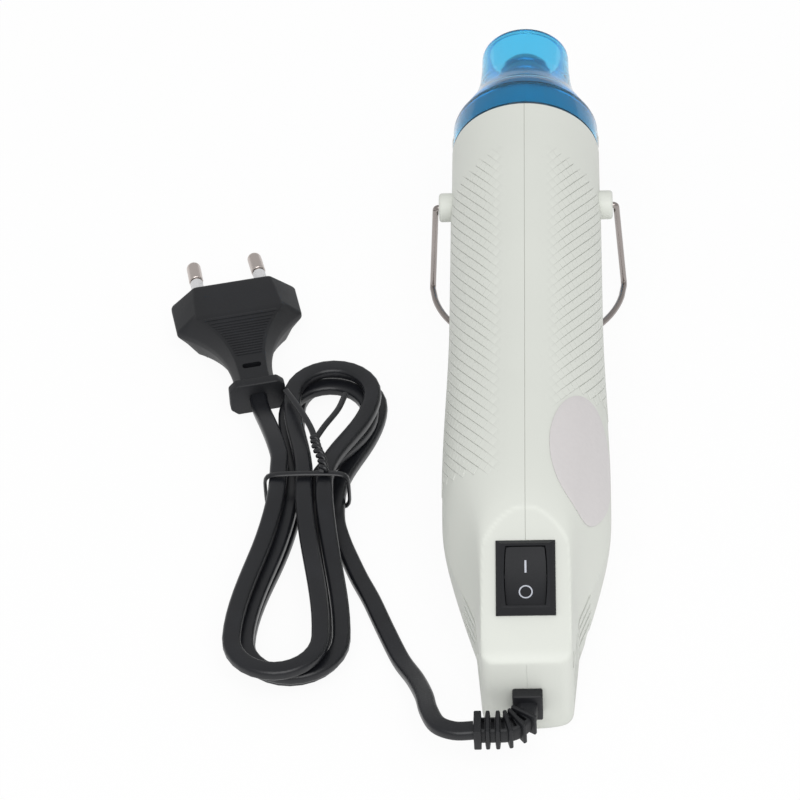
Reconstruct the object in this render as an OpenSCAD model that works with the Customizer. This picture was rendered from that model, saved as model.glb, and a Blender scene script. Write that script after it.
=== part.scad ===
// Embossing heat tool: a slim hot air gun on a wire bail, with its lead, hank and plug.
// The tool is drawn along Y with the bail's pivot at the origin, then tilted and set down.

/* [Body] */
// Diameter of the straight front of the body
tube_d = 41; // [38:0.5:44]
// Wall of the two half shells
wall = 2.2; // [1.8:0.1:2.8]
// From the bail's pivot to the front rim of the body
front_len = 20; // [18:0.5:24]
// From the bail's pivot to the rear face of the body
rear_len = 168; // [162:1:176]
// Radius of the swelling that fills the palm
swell_r = 21.9; // [21.6:0.1:22.6]
// Half width of the narrow tail
tail_half_w = 11.4; // [11:0.1:12.4]
// Slope of the switch pad against the tool's axis
pad_deg = 17; // [15:0.5:18]
// Length of the switch pad, measured forward from the rear face
pad_len = 42; // [40:0.5:44]
// Half width of the pad where its sides run straight
pad_half_w = 11.5; // [11:0.1:12]
// Tilt of the tool when it stands on its bail
tilt = 4.8; // [4:0.1:5.6]

/* [Nozzle cover] */
// Length of the clear cover in front of the body
cover_len = 39.3; // [36:0.5:43]
// Outer diameter of the mouth
mouth_d = 24.6; // [23:0.1:26]
// Wall of the cover
cover_wall = 1.5; // [1.2:0.1:1.8]
// Length of the band that sits over the neck
band_len = 9.3; // [8.5:0.1:10]
// Length of the neck under the band
neck_len = 8.3; // [7.5:0.1:8.4]
// Diameter of the lugs that hold the cover
lug_d = 4.4; // [4:0.1:5]

/* [Heater] */
// Diameter of the metal shield round the heater
shield_d = 30.6; // [29.6:0.1:31]
// Sheet of the shield
shield_wall = 0.6; // [0.5:0.05:0.7]
// Diameter of the outlet tube seen through the cover
outlet_d = 15.6; // [14.6:0.1:16.4]
// From the outlet tube's end back to the mouth
outlet_inset = 6.8; // [5:0.2:9]
// Mica sheet thickness
mica_t = 0.6; // [0.5:0.05:0.8]
// Turns of heating wire
coil_turns = 9; // [7:1:10]
// Heating wire diameter
coil_wire_d = 0.9; // [0.8:0.05:1]

/* [Fan and motor] */
// Fan diameter
fan_d = 32.6; // [31:0.1:33]
// Blades on the fan
blade_count = 9; // [7:1:11]
// Motor can diameter
motor_d = 24.4; // [23.4:0.1:25]
// Motor can length
motor_len = 30.8; // [29:0.2:32]
// Motor shaft diameter
shaft_d = 2; // [2:0.1:2.3]
// Gap between the shaft and its bushes
shaft_play = 0.05; // [0.03:0.01:0.08]

/* [Switch] */
// Bezel length along the tool
bezel_l = 21; // [20.4:0.1:21.6]
// Bezel width
bezel_w = 15; // [14.6:0.1:15.4]
// Bezel height above the pad
bezel_h = 2; // [1.6:0.1:2.4]
// Swing of the rocker to each side of level
rocker_deg = 9; // [7:0.5:10]
// Depth of the switch body under the pad
switch_depth = 10; // [9.4:0.1:10.6]

/* [Bail] */
// Wire diameter
bail_wire_d = 1.7; // [1.5:0.1:1.8]
// Length of each leg
bail_leg = 34; // [33:0.2:35.6]
// Half width across the corners of the foot
bail_half_w = 27; // [26:0.2:28]
// Lean of the legs towards the nozzle
bail_lean = 10; // [8:0.5:12]
// Diameter of the bosses on the body
boss_d = 8; // [7:0.2:9]
// Width over both bosses
boss_span = 48; // [47.6:0.2:49]

/* [Vents and screws] */
// Height of a vent slot
slot_h = 1.1; // [0.9:0.1:1.4]
// Distance between slots
slot_pitch = 3.2; // [3:0.1:3.4]
// Screw thread diameter
screw_d = 2.2; // [2:0.1:2.4]

/* [Cord and plug] */
// Width of the flat twin cord
cord_w = 4.8; // [4.6:0.1:5]
// Thickness of the flat twin cord
cord_t = 3.2; // [3:0.1:3.3]
// Size of the square fins on the strain relief
fin_size = 7.4; // [7:0.1:8]
// Fins on the strain relief
fin_count = 6; // [5:1:7]
// Plug pin diameter
pin_d = 4; // [3.8:0.1:4.2]
// Plug pin length
pin_len = 17; // [16:0.5:19]
// Distance between the pins
pin_pitch = 18.6; // [18:0.2:19]
// Width of the plug
plug_w = 35.3; // [33:0.1:36]
// Thickness of the plug
plug_t = 13.7; // [13:0.1:14.4]
// Length of the plug from its face to the end of its collar
plug_len = 42.5; // [41:0.5:44]

/* [Hidden] */
$fn = 48;

// Colours of the finishes
shell_white = [0.85, 0.86, 0.84];
clear_blue = [0.15, 0.5, 0.75, 0.75];
switch_black = [0.18, 0.18, 0.2];
cord_black = [0.1, 0.11, 0.12];
steel_grey = [0.6, 0.6, 0.58];
mica_tan = [0.75, 0.68, 0.5];
brass_gold = [0.78, 0.62, 0.3];
label_grey = [0.83, 0.82, 0.82];

// Clearances
eps = 0.01;
slide_gap = 0.2;
seat_gap = 0.25;

// Body outline
tube_r = tube_d / 2;
neck_r = tube_r - 2.1;
neck_bore_r = neck_r - 1.9;
bore_r = tube_r - wall;
loft_start = 46;
swell_full = rear_len - 64;
pad_start = rear_len - pad_len;
flank_start = rear_len - 44;
flank_bend = rear_len - 19.5;
bend_half_w = tail_half_w + 1.8;
belly_spare = 0.9;
edge_power = 20;
loft_sides = 56;
loft_proud = 0.05;
tail_round = 3;
pad_trim = 0.4;

// The tool's place above the surface
foot_drop = bail_leg * cos(bail_lean) + bail_wire_d / 2;
pivot_z = foot_drop;
mouth_chamfer = 0.5;
front_reach = (front_len + cover_len) * cos(tilt) + (mouth_d / 2 - mouth_chamfer) * sin(tilt);
rear_reach = rear_len * cos(tilt) + (pad_z(rear_len) - pad_trim * tail_round) * sin(tilt);
pivot_y = (rear_reach - front_reach) / 2;

module placed() {
    translate([0, pivot_y, pivot_z]) rotate([tilt, 0, 0]) children();
}

// Turns a shape of revolution so that it lies along the tool
module lengthwise() {
    rotate([-90, 0, 0]) children();
}

module ring(r_out, r_in, y0, y1) {
    translate([0, y0, 0]) lengthwise() difference() {
        cylinder(r = r_out, h = y1 - y0, $fn = 96);
        translate([0, 0, -1]) cylinder(r = r_in, h = y1 - y0 + 2, $fn = 96);
    }
}

// The body behind the straight tube: each section is the soft overlap of a circle, the pad
// above, the leaning flanks and the belly that rests on the surface.
function clamp01(t) = min(1, max(0, t));
function ease(a, b, v) = let (t = clamp01((v - a) / (b - a))) t * t * (3 - 2 * t);
function body_r(s) = tube_r + loft_proud + (swell_r - tube_r) * ease(loft_start, swell_full, s);
function pad_z(s) = swell_r - 0.6 - (s - pad_start) * tan(pad_deg);
function flank_x(s) = s < flank_bend
    ? bend_half_w + (flank_bend - s) * (swell_r - bend_half_w) / (flank_bend - flank_start)
    : bend_half_w - (s - flank_bend) * (bend_half_w - tail_half_w) / (rear_len - flank_bend);
function belly_z(s) = (pivot_z - s * sin(tilt)) / cos(tilt) + belly_spare;
function flank_lean(s) = clamp01((flank_x(s) - pad_half_w) / max(4, pad_z(s)));
function tail_trim(s) = tail_round * (1 - sqrt(1 - pow(clamp01((s - rear_len + tail_round) / tail_round), 2)));
function section_r(s, a, inset) =
    let (c = abs(cos(a)), up = max(0, sin(a)), down = max(0, -sin(a)), cut = inset + tail_trim(s),
        p = edge_power)
    pow(pow(1 / (body_r(s) - cut), p)
        + pow((c + up * flank_lean(s)) / (flank_x(s) - cut), p)
        + pow(up / (pad_z(s) - inset - tail_trim(s) * pad_trim), p)
        + pow(down / (belly_z(s) - cut), p), -1 / p);

// Stations along the body, measured back from the pivot
swell_steps = 5;
stations = concat(
    [for (k = [0:swell_steps - 1]) loft_start + (swell_full - loft_start) * k / swell_steps, swell_full],
    [for (ahead = [55, 48, 43, 39, 35, 30, 25, 20, 16, 12, 8, tail_round, 1.6, 0.6, 0]) rear_len - ahead]);
inner_stations = [for (s = stations) if (s < rear_len - tail_round + eps) s];

function section_points(s, inset, at) =
    [for (i = [0:loft_sides - 1]) let (a = 360 * (i + 0.5) / loft_sides, r = section_r(s, a, inset))
        [r * cos(a), -at, r * sin(a)]];

module skin(rings) {
    n = len(rings[0]);
    m = len(rings);
    polyhedron(
        points = concat([for (r = rings) for (p = r) p], [for (r = [rings[0], rings[m - 1]]) [0, r[0][1], 0]]),
        faces = concat(
            [for (i = [0:n - 1]) [n * m, i, (i + 1) % n]],
            [for (k = [0:m - 2]) for (i = [0:n - 1]) for (t = [0, 1])
                let (j = (i + 1) % n, a = k * n, b = (k + 1) * n)
                t == 0 ? [a + i, b + j, a + j] : [a + i, b + i, b + j]],
            [for (i = [0:n - 1]) [n * m + 1, (m - 1) * n + (i + 1) % n, (m - 1) * n + i]]),
        convexity = 6);
}

module body_loft(inset, list, front, rear) {
    rings = concat([section_points(loft_start, inset, front)],
        [for (s = list) if (s > loft_start && s < rear) section_points(s, inset, s)],
        [section_points(min(rear, rear_len), inset, rear)]);
    skin(rings);
}

module body_outside() {
    body_loft(0, stations, loft_start, rear_len);
    ring(tube_r, 4, -loft_start - 1, front_len);
    ring(neck_r, 4, front_len - eps, front_len + neck_len);
    for (s = [-1, 1]) translate([s * (boss_span / 2 - 8), 0, 0]) rotate([0, s * 90, 0])
        cylinder(d = boss_d, h = 8);
    for (s = [-1, 1]) translate([s * (neck_bore_r + 1), front_len + band_len / 2 + 0.3, 0])
        rotate([0, s * 90, 0]) cylinder(d = lug_d, h = tube_r - neck_bore_r - 0.8, $fn = 32);
}

module body_inside() {
    inner_rear = rear_len - wall;
    body_loft(wall, inner_stations, loft_start, inner_rear);
    translate([0, -loft_start - 1, 0]) lengthwise()
        cylinder(r = bore_r, h = loft_start + front_len - 1, $fn = 96);
    translate([0, 0, 0]) lengthwise() cylinder(r = neck_bore_r, h = front_len + neck_len + 1, $fn = 96);
}

// Ribs inside the shells that carry the heater, the motor mount and the screws
shield_r = shield_d / 2;
mount_front = -68;
mount_t = 6;
rib_t = 1.6;
front_rib_y = 10;
rear_rib_y = -36;
screw_spots = [[4.5 - rear_len, 3.2], [26 - rear_len, -14.5]];
post_r = 3;
clamp_y = 10 - rear_len;
clamp_gap = 5;
clamp_post_r = 2;
relief_z = -7;

module shell_ribs() {
    for (y = [front_rib_y, rear_rib_y])
        ring(bore_r + 0.8, shield_r + seat_gap, y, y + rib_t);
    difference() {
        for (y = [mount_front, mount_front - mount_t - rib_t - 2 * slide_gap])
            ring(bore_r + 1.2, bore_r - 1.6, y + slide_gap, y + slide_gap + rib_t);
        for (a = lead_angles) rotate([0, -a, 0])
            translate([bore_r - 2.6, mount_front - mount_t - 6, -1.2]) cube([2.6, mount_t + 12, 2.4]);
    }
    intersection() {
        for (q = screw_spots) translate([0.8 - flank_at(q), q[0], q[1]]) rotate([0, 90, 0])
            cylinder(r = post_r, h = 2 * flank_at(q) - 1.6, $fn = 32);
        translate([0, -rear_len, 0]) lengthwise() cylinder(r = tube_r - 0.2, h = rear_len, $fn = 96);
    }
}

slot_split = rear_len - 16;
module vent_slots(side) {
    for (k = [-2:2]) for (h = [0, 1]) {
        long = k == 2 ? 5 : 0;
        shrt = k == -2 ? 8 : 0;
        y0 = h == 0 ? 3.5 - rear_len + long : -slot_split + 0.6;
        y1 = h == 0 ? -slot_split - 0.6 : 28 - rear_len - shrt;
        translate([side > 0 ? 6 : -26, y0, -6.4 + k * slot_pitch - slot_h / 2])
            cube([20, y1 - y0, slot_h]);
    }
}

// Pad frame: origin on the pad at the switch's middle, Y along the pad, Z out of it
switch_s = rear_len - 21.6;
module on_pad() {
    translate([0, -switch_s, pad_z(switch_s)]) rotate([pad_deg, 0, 0]) children();
}

cutout_l = bezel_l - 1.8;
cutout_w = bezel_w - 2;

module switch_hole() {
    on_pad() translate([-cutout_w / 2, -cutout_l / 2, -6]) cube([cutout_w, cutout_l, 10]);
}

relief_neck = 5.2;
module cord_hole() {
    translate([-relief_neck / 2 - slide_gap, -rear_len - 1, relief_z - relief_neck / 2 - slide_gap])
        cube([relief_neck + 2 * slide_gap, wall + 4, relief_neck + 2 * slide_gap]);
}

module surface_above() {
    translate([-60, -260, 0]) cube([120, 420, 120]);
}

// Everything both half shells share, before the cut down the middle
module shell_block() {
    difference() {
        union() {
            difference() {
                body_outside();
                body_inside();
            }
            shell_ribs();
        }
        switch_hole();
        cord_hole();
        for (s = [-1, 1]) {
            vent_slots(s);
            translate([s * (tube_r - 4), 0, 0]) rotate([0, s * 90, 0])
                cylinder(d = bail_wire_d + 0.12, h = 12, $fn = 32);
        }
    }
}

module half_space(side) {
    translate([side > 0 ? 0.02 : -60.02, -200, -60]) cube([60, 300, 120]);
}

screw_head_r = 2;
screw_sink = 2.6;
function flank_at(q) = section_r(-q[0], atan2(q[1], flank_x(-q[0])), 0) * cos(atan2(q[1], flank_x(-q[0])));

module right_housing() {
    color(shell_white) difference() {
        intersection() {
            placed() shell_block();
            placed() half_space(1);
            surface_above();
        }
        placed() for (q = screw_spots) translate([0, q[0], q[1]]) rotate([0, 90, 0]) {
            translate([0, 0, -1]) cylinder(d = screw_d + 0.4, h = 30, $fn = 24);
            translate([0, 0, flank_at(q) - screw_sink]) cylinder(r = screw_head_r + 0.25, h = swell_r, $fn = 32);
        }
    }
}

module left_housing() {
    color(shell_white) difference() {
        intersection() {
            union() {
                placed() shell_block();
                placed() clamp_posts();
            }
            placed() half_space(-1);
            surface_above();
        }
        placed() for (q = screw_spots) translate([1, q[0], q[1]]) rotate([0, -90, 0])
            cylinder(d = screw_d + 0.04, h = 9, $fn = 24);
        placed() for (k = [-1, 1]) translate([0, clamp_y, relief_z + k * clamp_gap])
            rotate([0, -90, 0]) cylinder(d = clamp_screw_d + 0.04, h = 8, $fn = 24);
    }
}

// Posts for the cord clamp, standing on the left shell's flank
clamp_screw_d = 1.8;
module clamp_posts() {
    for (k = [-1, 1]) translate([-tail_half_w - 0.3, clamp_y, relief_z + k * clamp_gap])
        rotate([0, 90, 0])
            cylinder(r = clamp_post_r, h = tail_half_w + 0.3 - cord_t / 2 - 0.2, $fn = 32);
}

// Clear cover: band, step and flare down to the mouth
mouth_r = mouth_d / 2;
cover_y0 = front_len + 0.2;
mouth_y = front_len + cover_len;
band_y1 = front_len + band_len;
flare = [[band_y1, tube_r - 1.1], [band_y1 + 2, tube_r - 1.7], [band_y1 + 4, mouth_r + 5.6],
    [band_y1 + 7, mouth_r + 4.1], [band_y1 + 10, mouth_r + 2.7], [band_y1 + 13, mouth_r + 1.7],
    [band_y1 + 17, mouth_r + 0.8], [band_y1 + 23, mouth_r + 0.2], [mouth_y - 0.8, mouth_r],
    [mouth_y, mouth_r - mouth_chamfer]];

module nozzle_cover() {
    color(clear_blue) placed() difference() {
        lengthwise() rotate_extrude($fn = 96) polygon(concat(
            [[neck_r + slide_gap, cover_y0], [tube_r - 0.1, cover_y0], [tube_r - 0.4, band_y1]],
            [for (p = flare) [p[1], p[0]]],
            [for (i = [len(flare) - 1:-1:3]) [flare[i][1] - cover_wall + (i == len(flare) - 1 ? mouth_chamfer : 0),
                flare[i][0]]],
            [[neck_r - cover_wall, band_y1 + 1.6], [neck_r + slide_gap, band_y1 - 0.6]]));
        for (s = [-1, 1]) translate([s * (neck_bore_r + 1.5), front_len + band_len / 2 + 0.3, 0])
            rotate([0, s * 90, 0]) cylinder(d = lug_d + 0.3, h = 8, $fn = 32);
    }
}

// Metal shield round the heater, drawn down to the outlet tube with its rolled beads
outlet_r = outlet_d / 2;
outlet_end = mouth_y - outlet_inset;
shield_back = -44;
cone_y0 = front_len + 1;
cone_y1 = front_len + 15;
bead_h = 0.6;

module outlet_shield() {
    color(steel_grey) placed() lengthwise() rotate_extrude($fn = 96) difference() {
        union() {
            polygon([[shield_r - shield_wall, shield_back], [shield_r, shield_back], [shield_r, cone_y0],
                [outlet_r, cone_y1], [outlet_r, outlet_end], [outlet_r - shield_wall, outlet_end],
                [outlet_r - shield_wall, cone_y1], [shield_r - shield_wall, cone_y0]]);
            for (y = [front_rib_y - 1.2, front_rib_y + rib_t + seat_gap])
                translate([shield_r - 0.2, y]) square([1.1, 0.9]);
            for (k = [0:2]) translate([outlet_r - 0.2, outlet_end - 1.2 - k * 4.4])
                square([0.2 + bead_h, 1.2]);
        }
        translate([0, shield_back - 1]) square([1, 200]);
    }
}

// Mica parts and the winding between them
mica_tube_r = shield_r - shield_wall - 0.1;
mica_back = shield_back + 2;
mica_front = cone_y0 - 1.5;
wing_r = mica_tube_r - mica_t - coil_wire_d - 0.9;
tab_len = 4;
cross_back = shield_back - 5;

module mica_tube() {
    color(mica_tan) placed() ring(mica_tube_r, mica_tube_r - mica_t, mica_back, mica_front);
}

module mica_cross() {
    color(mica_tan) placed() for (a = [0, 90]) rotate([0, a, 0]) {
        translate([-wing_r, cross_back, -mica_t / 2]) cube([2 * wing_r, mica_front - cross_back, mica_t]);
        for (y = [mica_back + 0.5, mica_front - tab_len])
            translate([-mica_tube_r + mica_t + 0.1, y, -mica_t / 2])
                cube([2 * (mica_tube_r - mica_t - 0.1), tab_len, mica_t]);
    }
}

coil_back = mica_back + tab_len + 2.5;
coil_front = mica_front - tab_len - 2;
coil_r = wing_r + coil_wire_d / 2 + 0.05;
coil_steps = 16;

function sub_unit(v) = v / norm(v);

// A tube of flat or round section along a list of points, seen from an up direction
function tube_rings(pts, w, h, n, up) =
    [for (i = [0:len(pts) - 1])
        let (a = pts[max(0, i - 1)], b = pts[min(len(pts) - 1, i + 1)], t = sub_unit(b - a),
            s = sub_unit(cross(t, up)), u = cross(s, t))
        [for (k = [0:n - 1]) pts[i] + s * w / 2 * cos(360 * k / n) + u * h / 2 * sin(360 * k / n)]];

module swept(pts, w, h, n, up) {
    rings = tube_rings(pts, w, h, n, up);
    m = len(rings);
    polyhedron(
        points = [for (r = rings) for (p = r) p],
        faces = concat(
            [for (i = [1:n - 2]) [0, i + 1, i]],
            [for (k = [0:m - 2]) for (i = [0:n - 1]) for (t = [0, 1])
                let (j = (i + 1) % n, a = k * n, b = (k + 1) * n)
                t == 0 ? [a + i, a + j, b + j] : [a + i, b + j, b + i]],
            [for (i = [1:n - 2]) [(m - 1) * n, (m - 1) * n + i, (m - 1) * n + i + 1]]),
        convexity = 10);
}

// A smooth curve through hand-placed points
function knot(p, i) = p[min(len(p) - 1, max(0, i))];
function smooth_at(p, i, t) =
    let (a = knot(p, i - 1), b = knot(p, i), c = knot(p, i + 1), d = knot(p, i + 2))
    0.5 * (2 * b + (c - a) * t + (2 * a - 5 * b + 4 * c - d) * t * t + (3 * b - a - 3 * c + d) * t * t * t);
function smooth_path(p, n) = concat(
    [for (i = [0:len(p) - 2]) for (k = [0:n - 1]) smooth_at(p, i, k / n)], [p[len(p) - 1]]);

module heating_coil() {
    pts = [for (i = [0:coil_turns * coil_steps]) let (a = 360 * i / coil_steps)
        [coil_r * cos(a), coil_back + (coil_front - coil_back) * i / (coil_turns * coil_steps),
            coil_r * sin(a)]];
    color(brass_gold) placed() swept(pts, coil_wire_d, coil_wire_d, 6, [0, 1, 0]);
}

// Bimetal cut-out lying on a wing of the cross
module thermal_cutout() {
    color(steel_grey) placed() translate([1.4, cross_back, mica_t / 2]) {
        cube([6, 4.6, 3.4]);
        translate([3, 2.3, 3.4]) cylinder(d = 3.6, h = 0.8, $fn = 24);
    }
}

// Fan on the motor's shaft
fan_r = fan_d / 2;
fan_y0 = -62;
fan_y1 = -52;
hub_r = 5;
shaft_r = shaft_d / 2;
shaft_front = fan_y1 - 0.4;

module fan_impeller() {
    color([0.2, 0.2, 0.22]) placed() difference() {
        intersection() {
            union() {
                translate([0, fan_y0, 0]) lengthwise() cylinder(r = hub_r, h = fan_y1 - fan_y0);
                for (k = [0:blade_count - 1]) rotate([0, 360 * k / blade_count, 0])
                    translate([fan_r / 2 + 1, (fan_y0 + fan_y1) / 2, 0]) rotate([38, 0, 0])
                        cube([fan_r, 14, 0.9], center = true);
            }
            translate([0, fan_y0, 0]) lengthwise() cylinder(r = fan_r, h = fan_y1 - fan_y0, $fn = 64);
        }
        translate([0, fan_y0 - 1, 0]) lengthwise() cylinder(r = shaft_r, h = fan_y1 - fan_y0 + 0.6, $fn = 32);
    }
}

// Motor: can, magnets, end cap, bushes, rotor and shaft
motor_r = motor_d / 2;
motor_front = -64.5;
motor_back = motor_front - motor_len;
can_wall = 1;
bush_r = 3;
bush_len = 3;
magnet_t = 2.6;
rotor_r = motor_r - can_wall - magnet_t - 0.5;

module motor_can() {
    color(steel_grey) placed() difference() {
        translate([0, motor_back, 0]) lengthwise() cylinder(r = motor_r, h = motor_len, $fn = 64);
        translate([0, motor_back - 1, 0]) lengthwise()
            cylinder(r = motor_r - can_wall, h = motor_len - can_wall + 1, $fn = 64);
        translate([0, motor_front - 3, 0]) lengthwise() cylinder(r = bush_r, h = 5, $fn = 32);
    }
}

module motor_magnets() {
    color([0.3, 0.3, 0.32]) placed() intersection() {
        ring(motor_r - can_wall - 0.05, rotor_r + 0.5, motor_back + 8, motor_front - 4);
        for (s = [-1, 1]) translate([s * 13 - 8, motor_back, -8]) cube([16, motor_len, 16]);
    }
}

module motor_end_cap() {
    color([0.92, 0.92, 0.9]) placed() {
        ring(motor_r - can_wall - 0.05, bush_r, motor_back - 0.6, motor_back + 3);
        ring(motor_r - 0.05, bush_r, motor_back - 1.2, motor_back - eps);
    }
}

module motor_bushes() {
    color(brass_gold) placed() {
        ring(bush_r - 0.02, shaft_r + shaft_play, motor_front - 2.4, motor_front + 0.6);
        ring(bush_r - 0.02, shaft_r + shaft_play, motor_back - 1.2, motor_back + 1.8);
    }
}

module motor_rotor() {
    color([0.55, 0.35, 0.2]) placed() difference() {
        translate([0, motor_back + 9, 0]) lengthwise() cylinder(r = rotor_r, h = motor_len - 14, $fn = 48);
        translate([0, motor_back + 8, 0]) lengthwise() cylinder(r = shaft_r, h = motor_len, $fn = 32);
        for (k = [0:2]) rotate([0, 60 + k * 120, 0]) translate([rotor_r - 3.4, motor_back + 8, -0.8])
            cube([6, motor_len, 1.6]);
    }
}

module commutator() {
    color(brass_gold) placed() ring(3.6, shaft_r, motor_back + 4, motor_back + 8.6);
}

module motor_shaft() {
    color(steel_grey) placed() translate([0, motor_back - 2, 0]) lengthwise()
        cylinder(r = shaft_r, h = shaft_front - motor_back + 2, $fn = 32);
}

// Spider that holds the motor in the shells and lets the air past
lead_angles = [20, 160];
mount_bore_r = motor_r + 0.05;
mount_r = bore_r - 0.1;

module motor_mount() {
    y1 = mount_front;
    y0 = mount_front - mount_t;
    color([0.93, 0.93, 0.9]) placed() difference() {
        union() {
            ring(mount_r, mount_r - 1.4, y0, y1);
            ring(mount_bore_r + 1.3, mount_bore_r, y0, y1);
            for (k = [0:3]) rotate([0, 45 + 90 * k, 0])
                translate([mount_bore_r + 0.6, y0, -0.8]) cube([mount_r - mount_bore_r - 1, mount_t, 1.6]);
        }
        for (a = lead_angles) rotate([0, -a, 0]) translate([mount_r - 2, y0 - 1, -1.2])
            cube([4, mount_t + 2, 2.4]);
    }
}

// Rectifier board on the motor's back, with its diodes
board_y = motor_back - 5.2;
board_t = 1.2;
diode_r = 1.3;

module rectifier_board() {
    color([0.25, 0.45, 0.25]) placed() difference() {
        union() {
            translate([0, board_y, 0]) lengthwise() cylinder(r = motor_r - 1.2, h = board_t);
            for (s = [-1, 1]) translate([s * 7, board_y + board_t, 0]) lengthwise()
                cylinder(r = 1.4, h = motor_back - 1.2 - board_y - board_t - 0.05, $fn = 24);
        }
        translate([0, board_y - 1, 0]) lengthwise() cylinder(r = 3, h = 6, $fn = 32);
    }
}

module rectifier_diodes() {
    color([0.12, 0.12, 0.12]) placed() for (x = [-1, 1], z = [-1, 1])
        translate([x * 4.5 - 2.6, board_y - diode_r, z * 6]) rotate([0, 90, 0])
            cylinder(r = diode_r, h = 5.2, $fn = 24);
}

// Leads that pass the fan along the bore, from the heater back to the board
lead_d = 1.1;
lead_r = bore_r - lead_d / 2 - 0.15;

function lead_points(a) = [
    [(wing_r - 1) * sign(cos(a)), cross_back + 1.5, mica_t / 2 + lead_d / 2 + 0.05],
    [(wing_r + 2) * cos(a), cross_back - 0.6, (wing_r + 2) * sin(a) * 0.8],
    [lead_r * cos(a), cross_back - 4, lead_r * sin(a)],
    [lead_r * cos(a), cross_back - 12, lead_r * sin(a)],
    [lead_r * cos(a), mount_front + 1, lead_r * sin(a)],
    [lead_r * cos(a), motor_back + 14, lead_r * sin(a)],
    [(lead_r - 3) * cos(a), motor_back + 2, (lead_r - 3) * sin(a)],
    [(motor_r - 1) * cos(a), board_y - 0.2, (motor_r - 1) * sin(a)],
    [(motor_r - 5) * cos(a), board_y - 1, (motor_r - 5) * sin(a)]];

module heater_leads() {
    color([0.85, 0.85, 0.8]) placed() for (a = lead_angles)
        swept(smooth_path(lead_points(a), 3), lead_d, lead_d, 6, [0.1, 0.2, 1]);
}

// Rocker switch in the pad
rocker_l = 16;
rocker_w = 10.4;
rocker_room = 0.4;
side_curve_r = 70;
trunnion_r = 1.2;

// A rectangle whose long sides bow out a little
module bowed(l, w, h) {
    intersection() {
        translate([-w / 2, -l / 2, 0]) cube([w, l, h]);
        translate([side_curve_r - w / 2, 0, -1]) cylinder(r = side_curve_r, h = h + 2, $fn = 240);
        translate([w / 2 - side_curve_r, 0, -1]) cylinder(r = side_curve_r, h = h + 2, $fn = 240);
    }
}

module switch_body() {
    bevel = 1.5;
    color(switch_black) placed() on_pad() difference() {
        union() {
            translate([-cutout_w / 2 + 0.15, -cutout_l / 2 + 0.15, -switch_depth])
                cube([cutout_w - 0.3, cutout_l - 0.3, switch_depth + 0.1]);
            intersection() {
                translate([-bezel_w / 2, -bezel_l / 2, 0.02]) cube([bezel_w, bezel_l, bezel_h]);
                rotate([90, 0, 0]) translate([0, 0, -bezel_l / 2]) linear_extrude(bezel_l)
                    polygon([[-bezel_w / 2, 0], [bezel_w / 2, 0], [bezel_w / 2, 0.7],
                        [bezel_w / 2 - bevel, bezel_h + 0.02], [bevel - bezel_w / 2, bezel_h + 0.02],
                        [-bezel_w / 2, 0.7]]);
                rotate([90, 0, 90]) translate([0, 0, -bezel_w / 2]) linear_extrude(bezel_w)
                    polygon([[-bezel_l / 2, 0], [bezel_l / 2, 0], [bezel_l / 2, 0.7],
                        [bezel_l / 2 - bevel, bezel_h + 0.02], [bevel - bezel_l / 2, bezel_h + 0.02],
                        [-bezel_l / 2, 0.7]]);
            }
        }
        translate([0, 0, -5]) bowed(rocker_l + 2 * rocker_room, rocker_w + rocker_room, 10);
        rotate([0, 90, 0]) translate([0, 0, -bezel_w / 2 + 1.4])
            cylinder(r = trunnion_r + 0.05, h = bezel_w - 2.8, $fn = 32);
    }
}

module switch_rocker() {
    color(switch_black) placed() on_pad() rotate([rocker_deg, 0, 0]) union() {
        intersection() {
            translate([0, 0, -5]) bowed(rocker_l, rocker_w, 10);
            rotate([90, 0, 90]) translate([0, 0, -rocker_w / 2]) linear_extrude(rocker_w)
                polygon([[-rocker_l / 2, 2.3], [0, 1], [rocker_l / 2, 2.3], [rocker_l / 2 - 0.3, -0.6],
                    [4.2, -3.4], [-4.2, -3.4], [0.3 - rocker_l / 2, -0.6]]);
        }
        rotate([0, 90, 0]) translate([0, 0, -bezel_w / 2 + 1.6])
            cylinder(r = trunnion_r, h = bezel_w - 3.2, $fn = 32);
    }
}

blade_spots = [-4.8, 4.8];
blade_drop = 7;
module switch_terminals() {
    color(brass_gold) placed() on_pad() for (y = blade_spots)
        translate([-2.4, y - 0.4, -switch_depth - blade_drop]) cube([4.8, 0.8, blade_drop - 0.02]);
}

// Wires from the cord's inner end to the switch, and from the switch and cord to the board
wire_d = 1.6;
inner_end_y = 16 - rear_len;
function along_tail(f) = board_y + (inner_end_y - board_y) * f;
function pad_point(y, z) = [0, -switch_s + y * cos(pad_deg) - z * sin(pad_deg),
    pad_z(switch_s) + y * sin(pad_deg) + z * cos(pad_deg)];

module supply_wire() {
    tip = pad_point(blade_spots[0] + 1.3, -switch_depth - blade_drop + 2);
    pts = [[-0.2, inner_end_y + 0.1, relief_z + 1.2], [0, inner_end_y + 3, relief_z + 1.5],
        pad_point(blade_spots[0] + 1.9, -switch_depth - blade_drop - 1.6), tip];
    out = pad_point(blade_spots[1] + 1.3, -switch_depth - blade_drop + 2);
    run = [out, out + [0, 2, -2], [0, along_tail(0.61), -3], [0, along_tail(0.38), -5], [0, board_y - 5, -8.2],
        [0, board_y - 0.03, -8.6]];
    color([0.45, 0.25, 0.15]) placed() {
        swept(smooth_path(pts, 3), wire_d, wire_d, 6, [1, 0, 0]);
        swept(smooth_path(run, 3), wire_d, wire_d, 6, [1, 0, 0]);
    }
}

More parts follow.
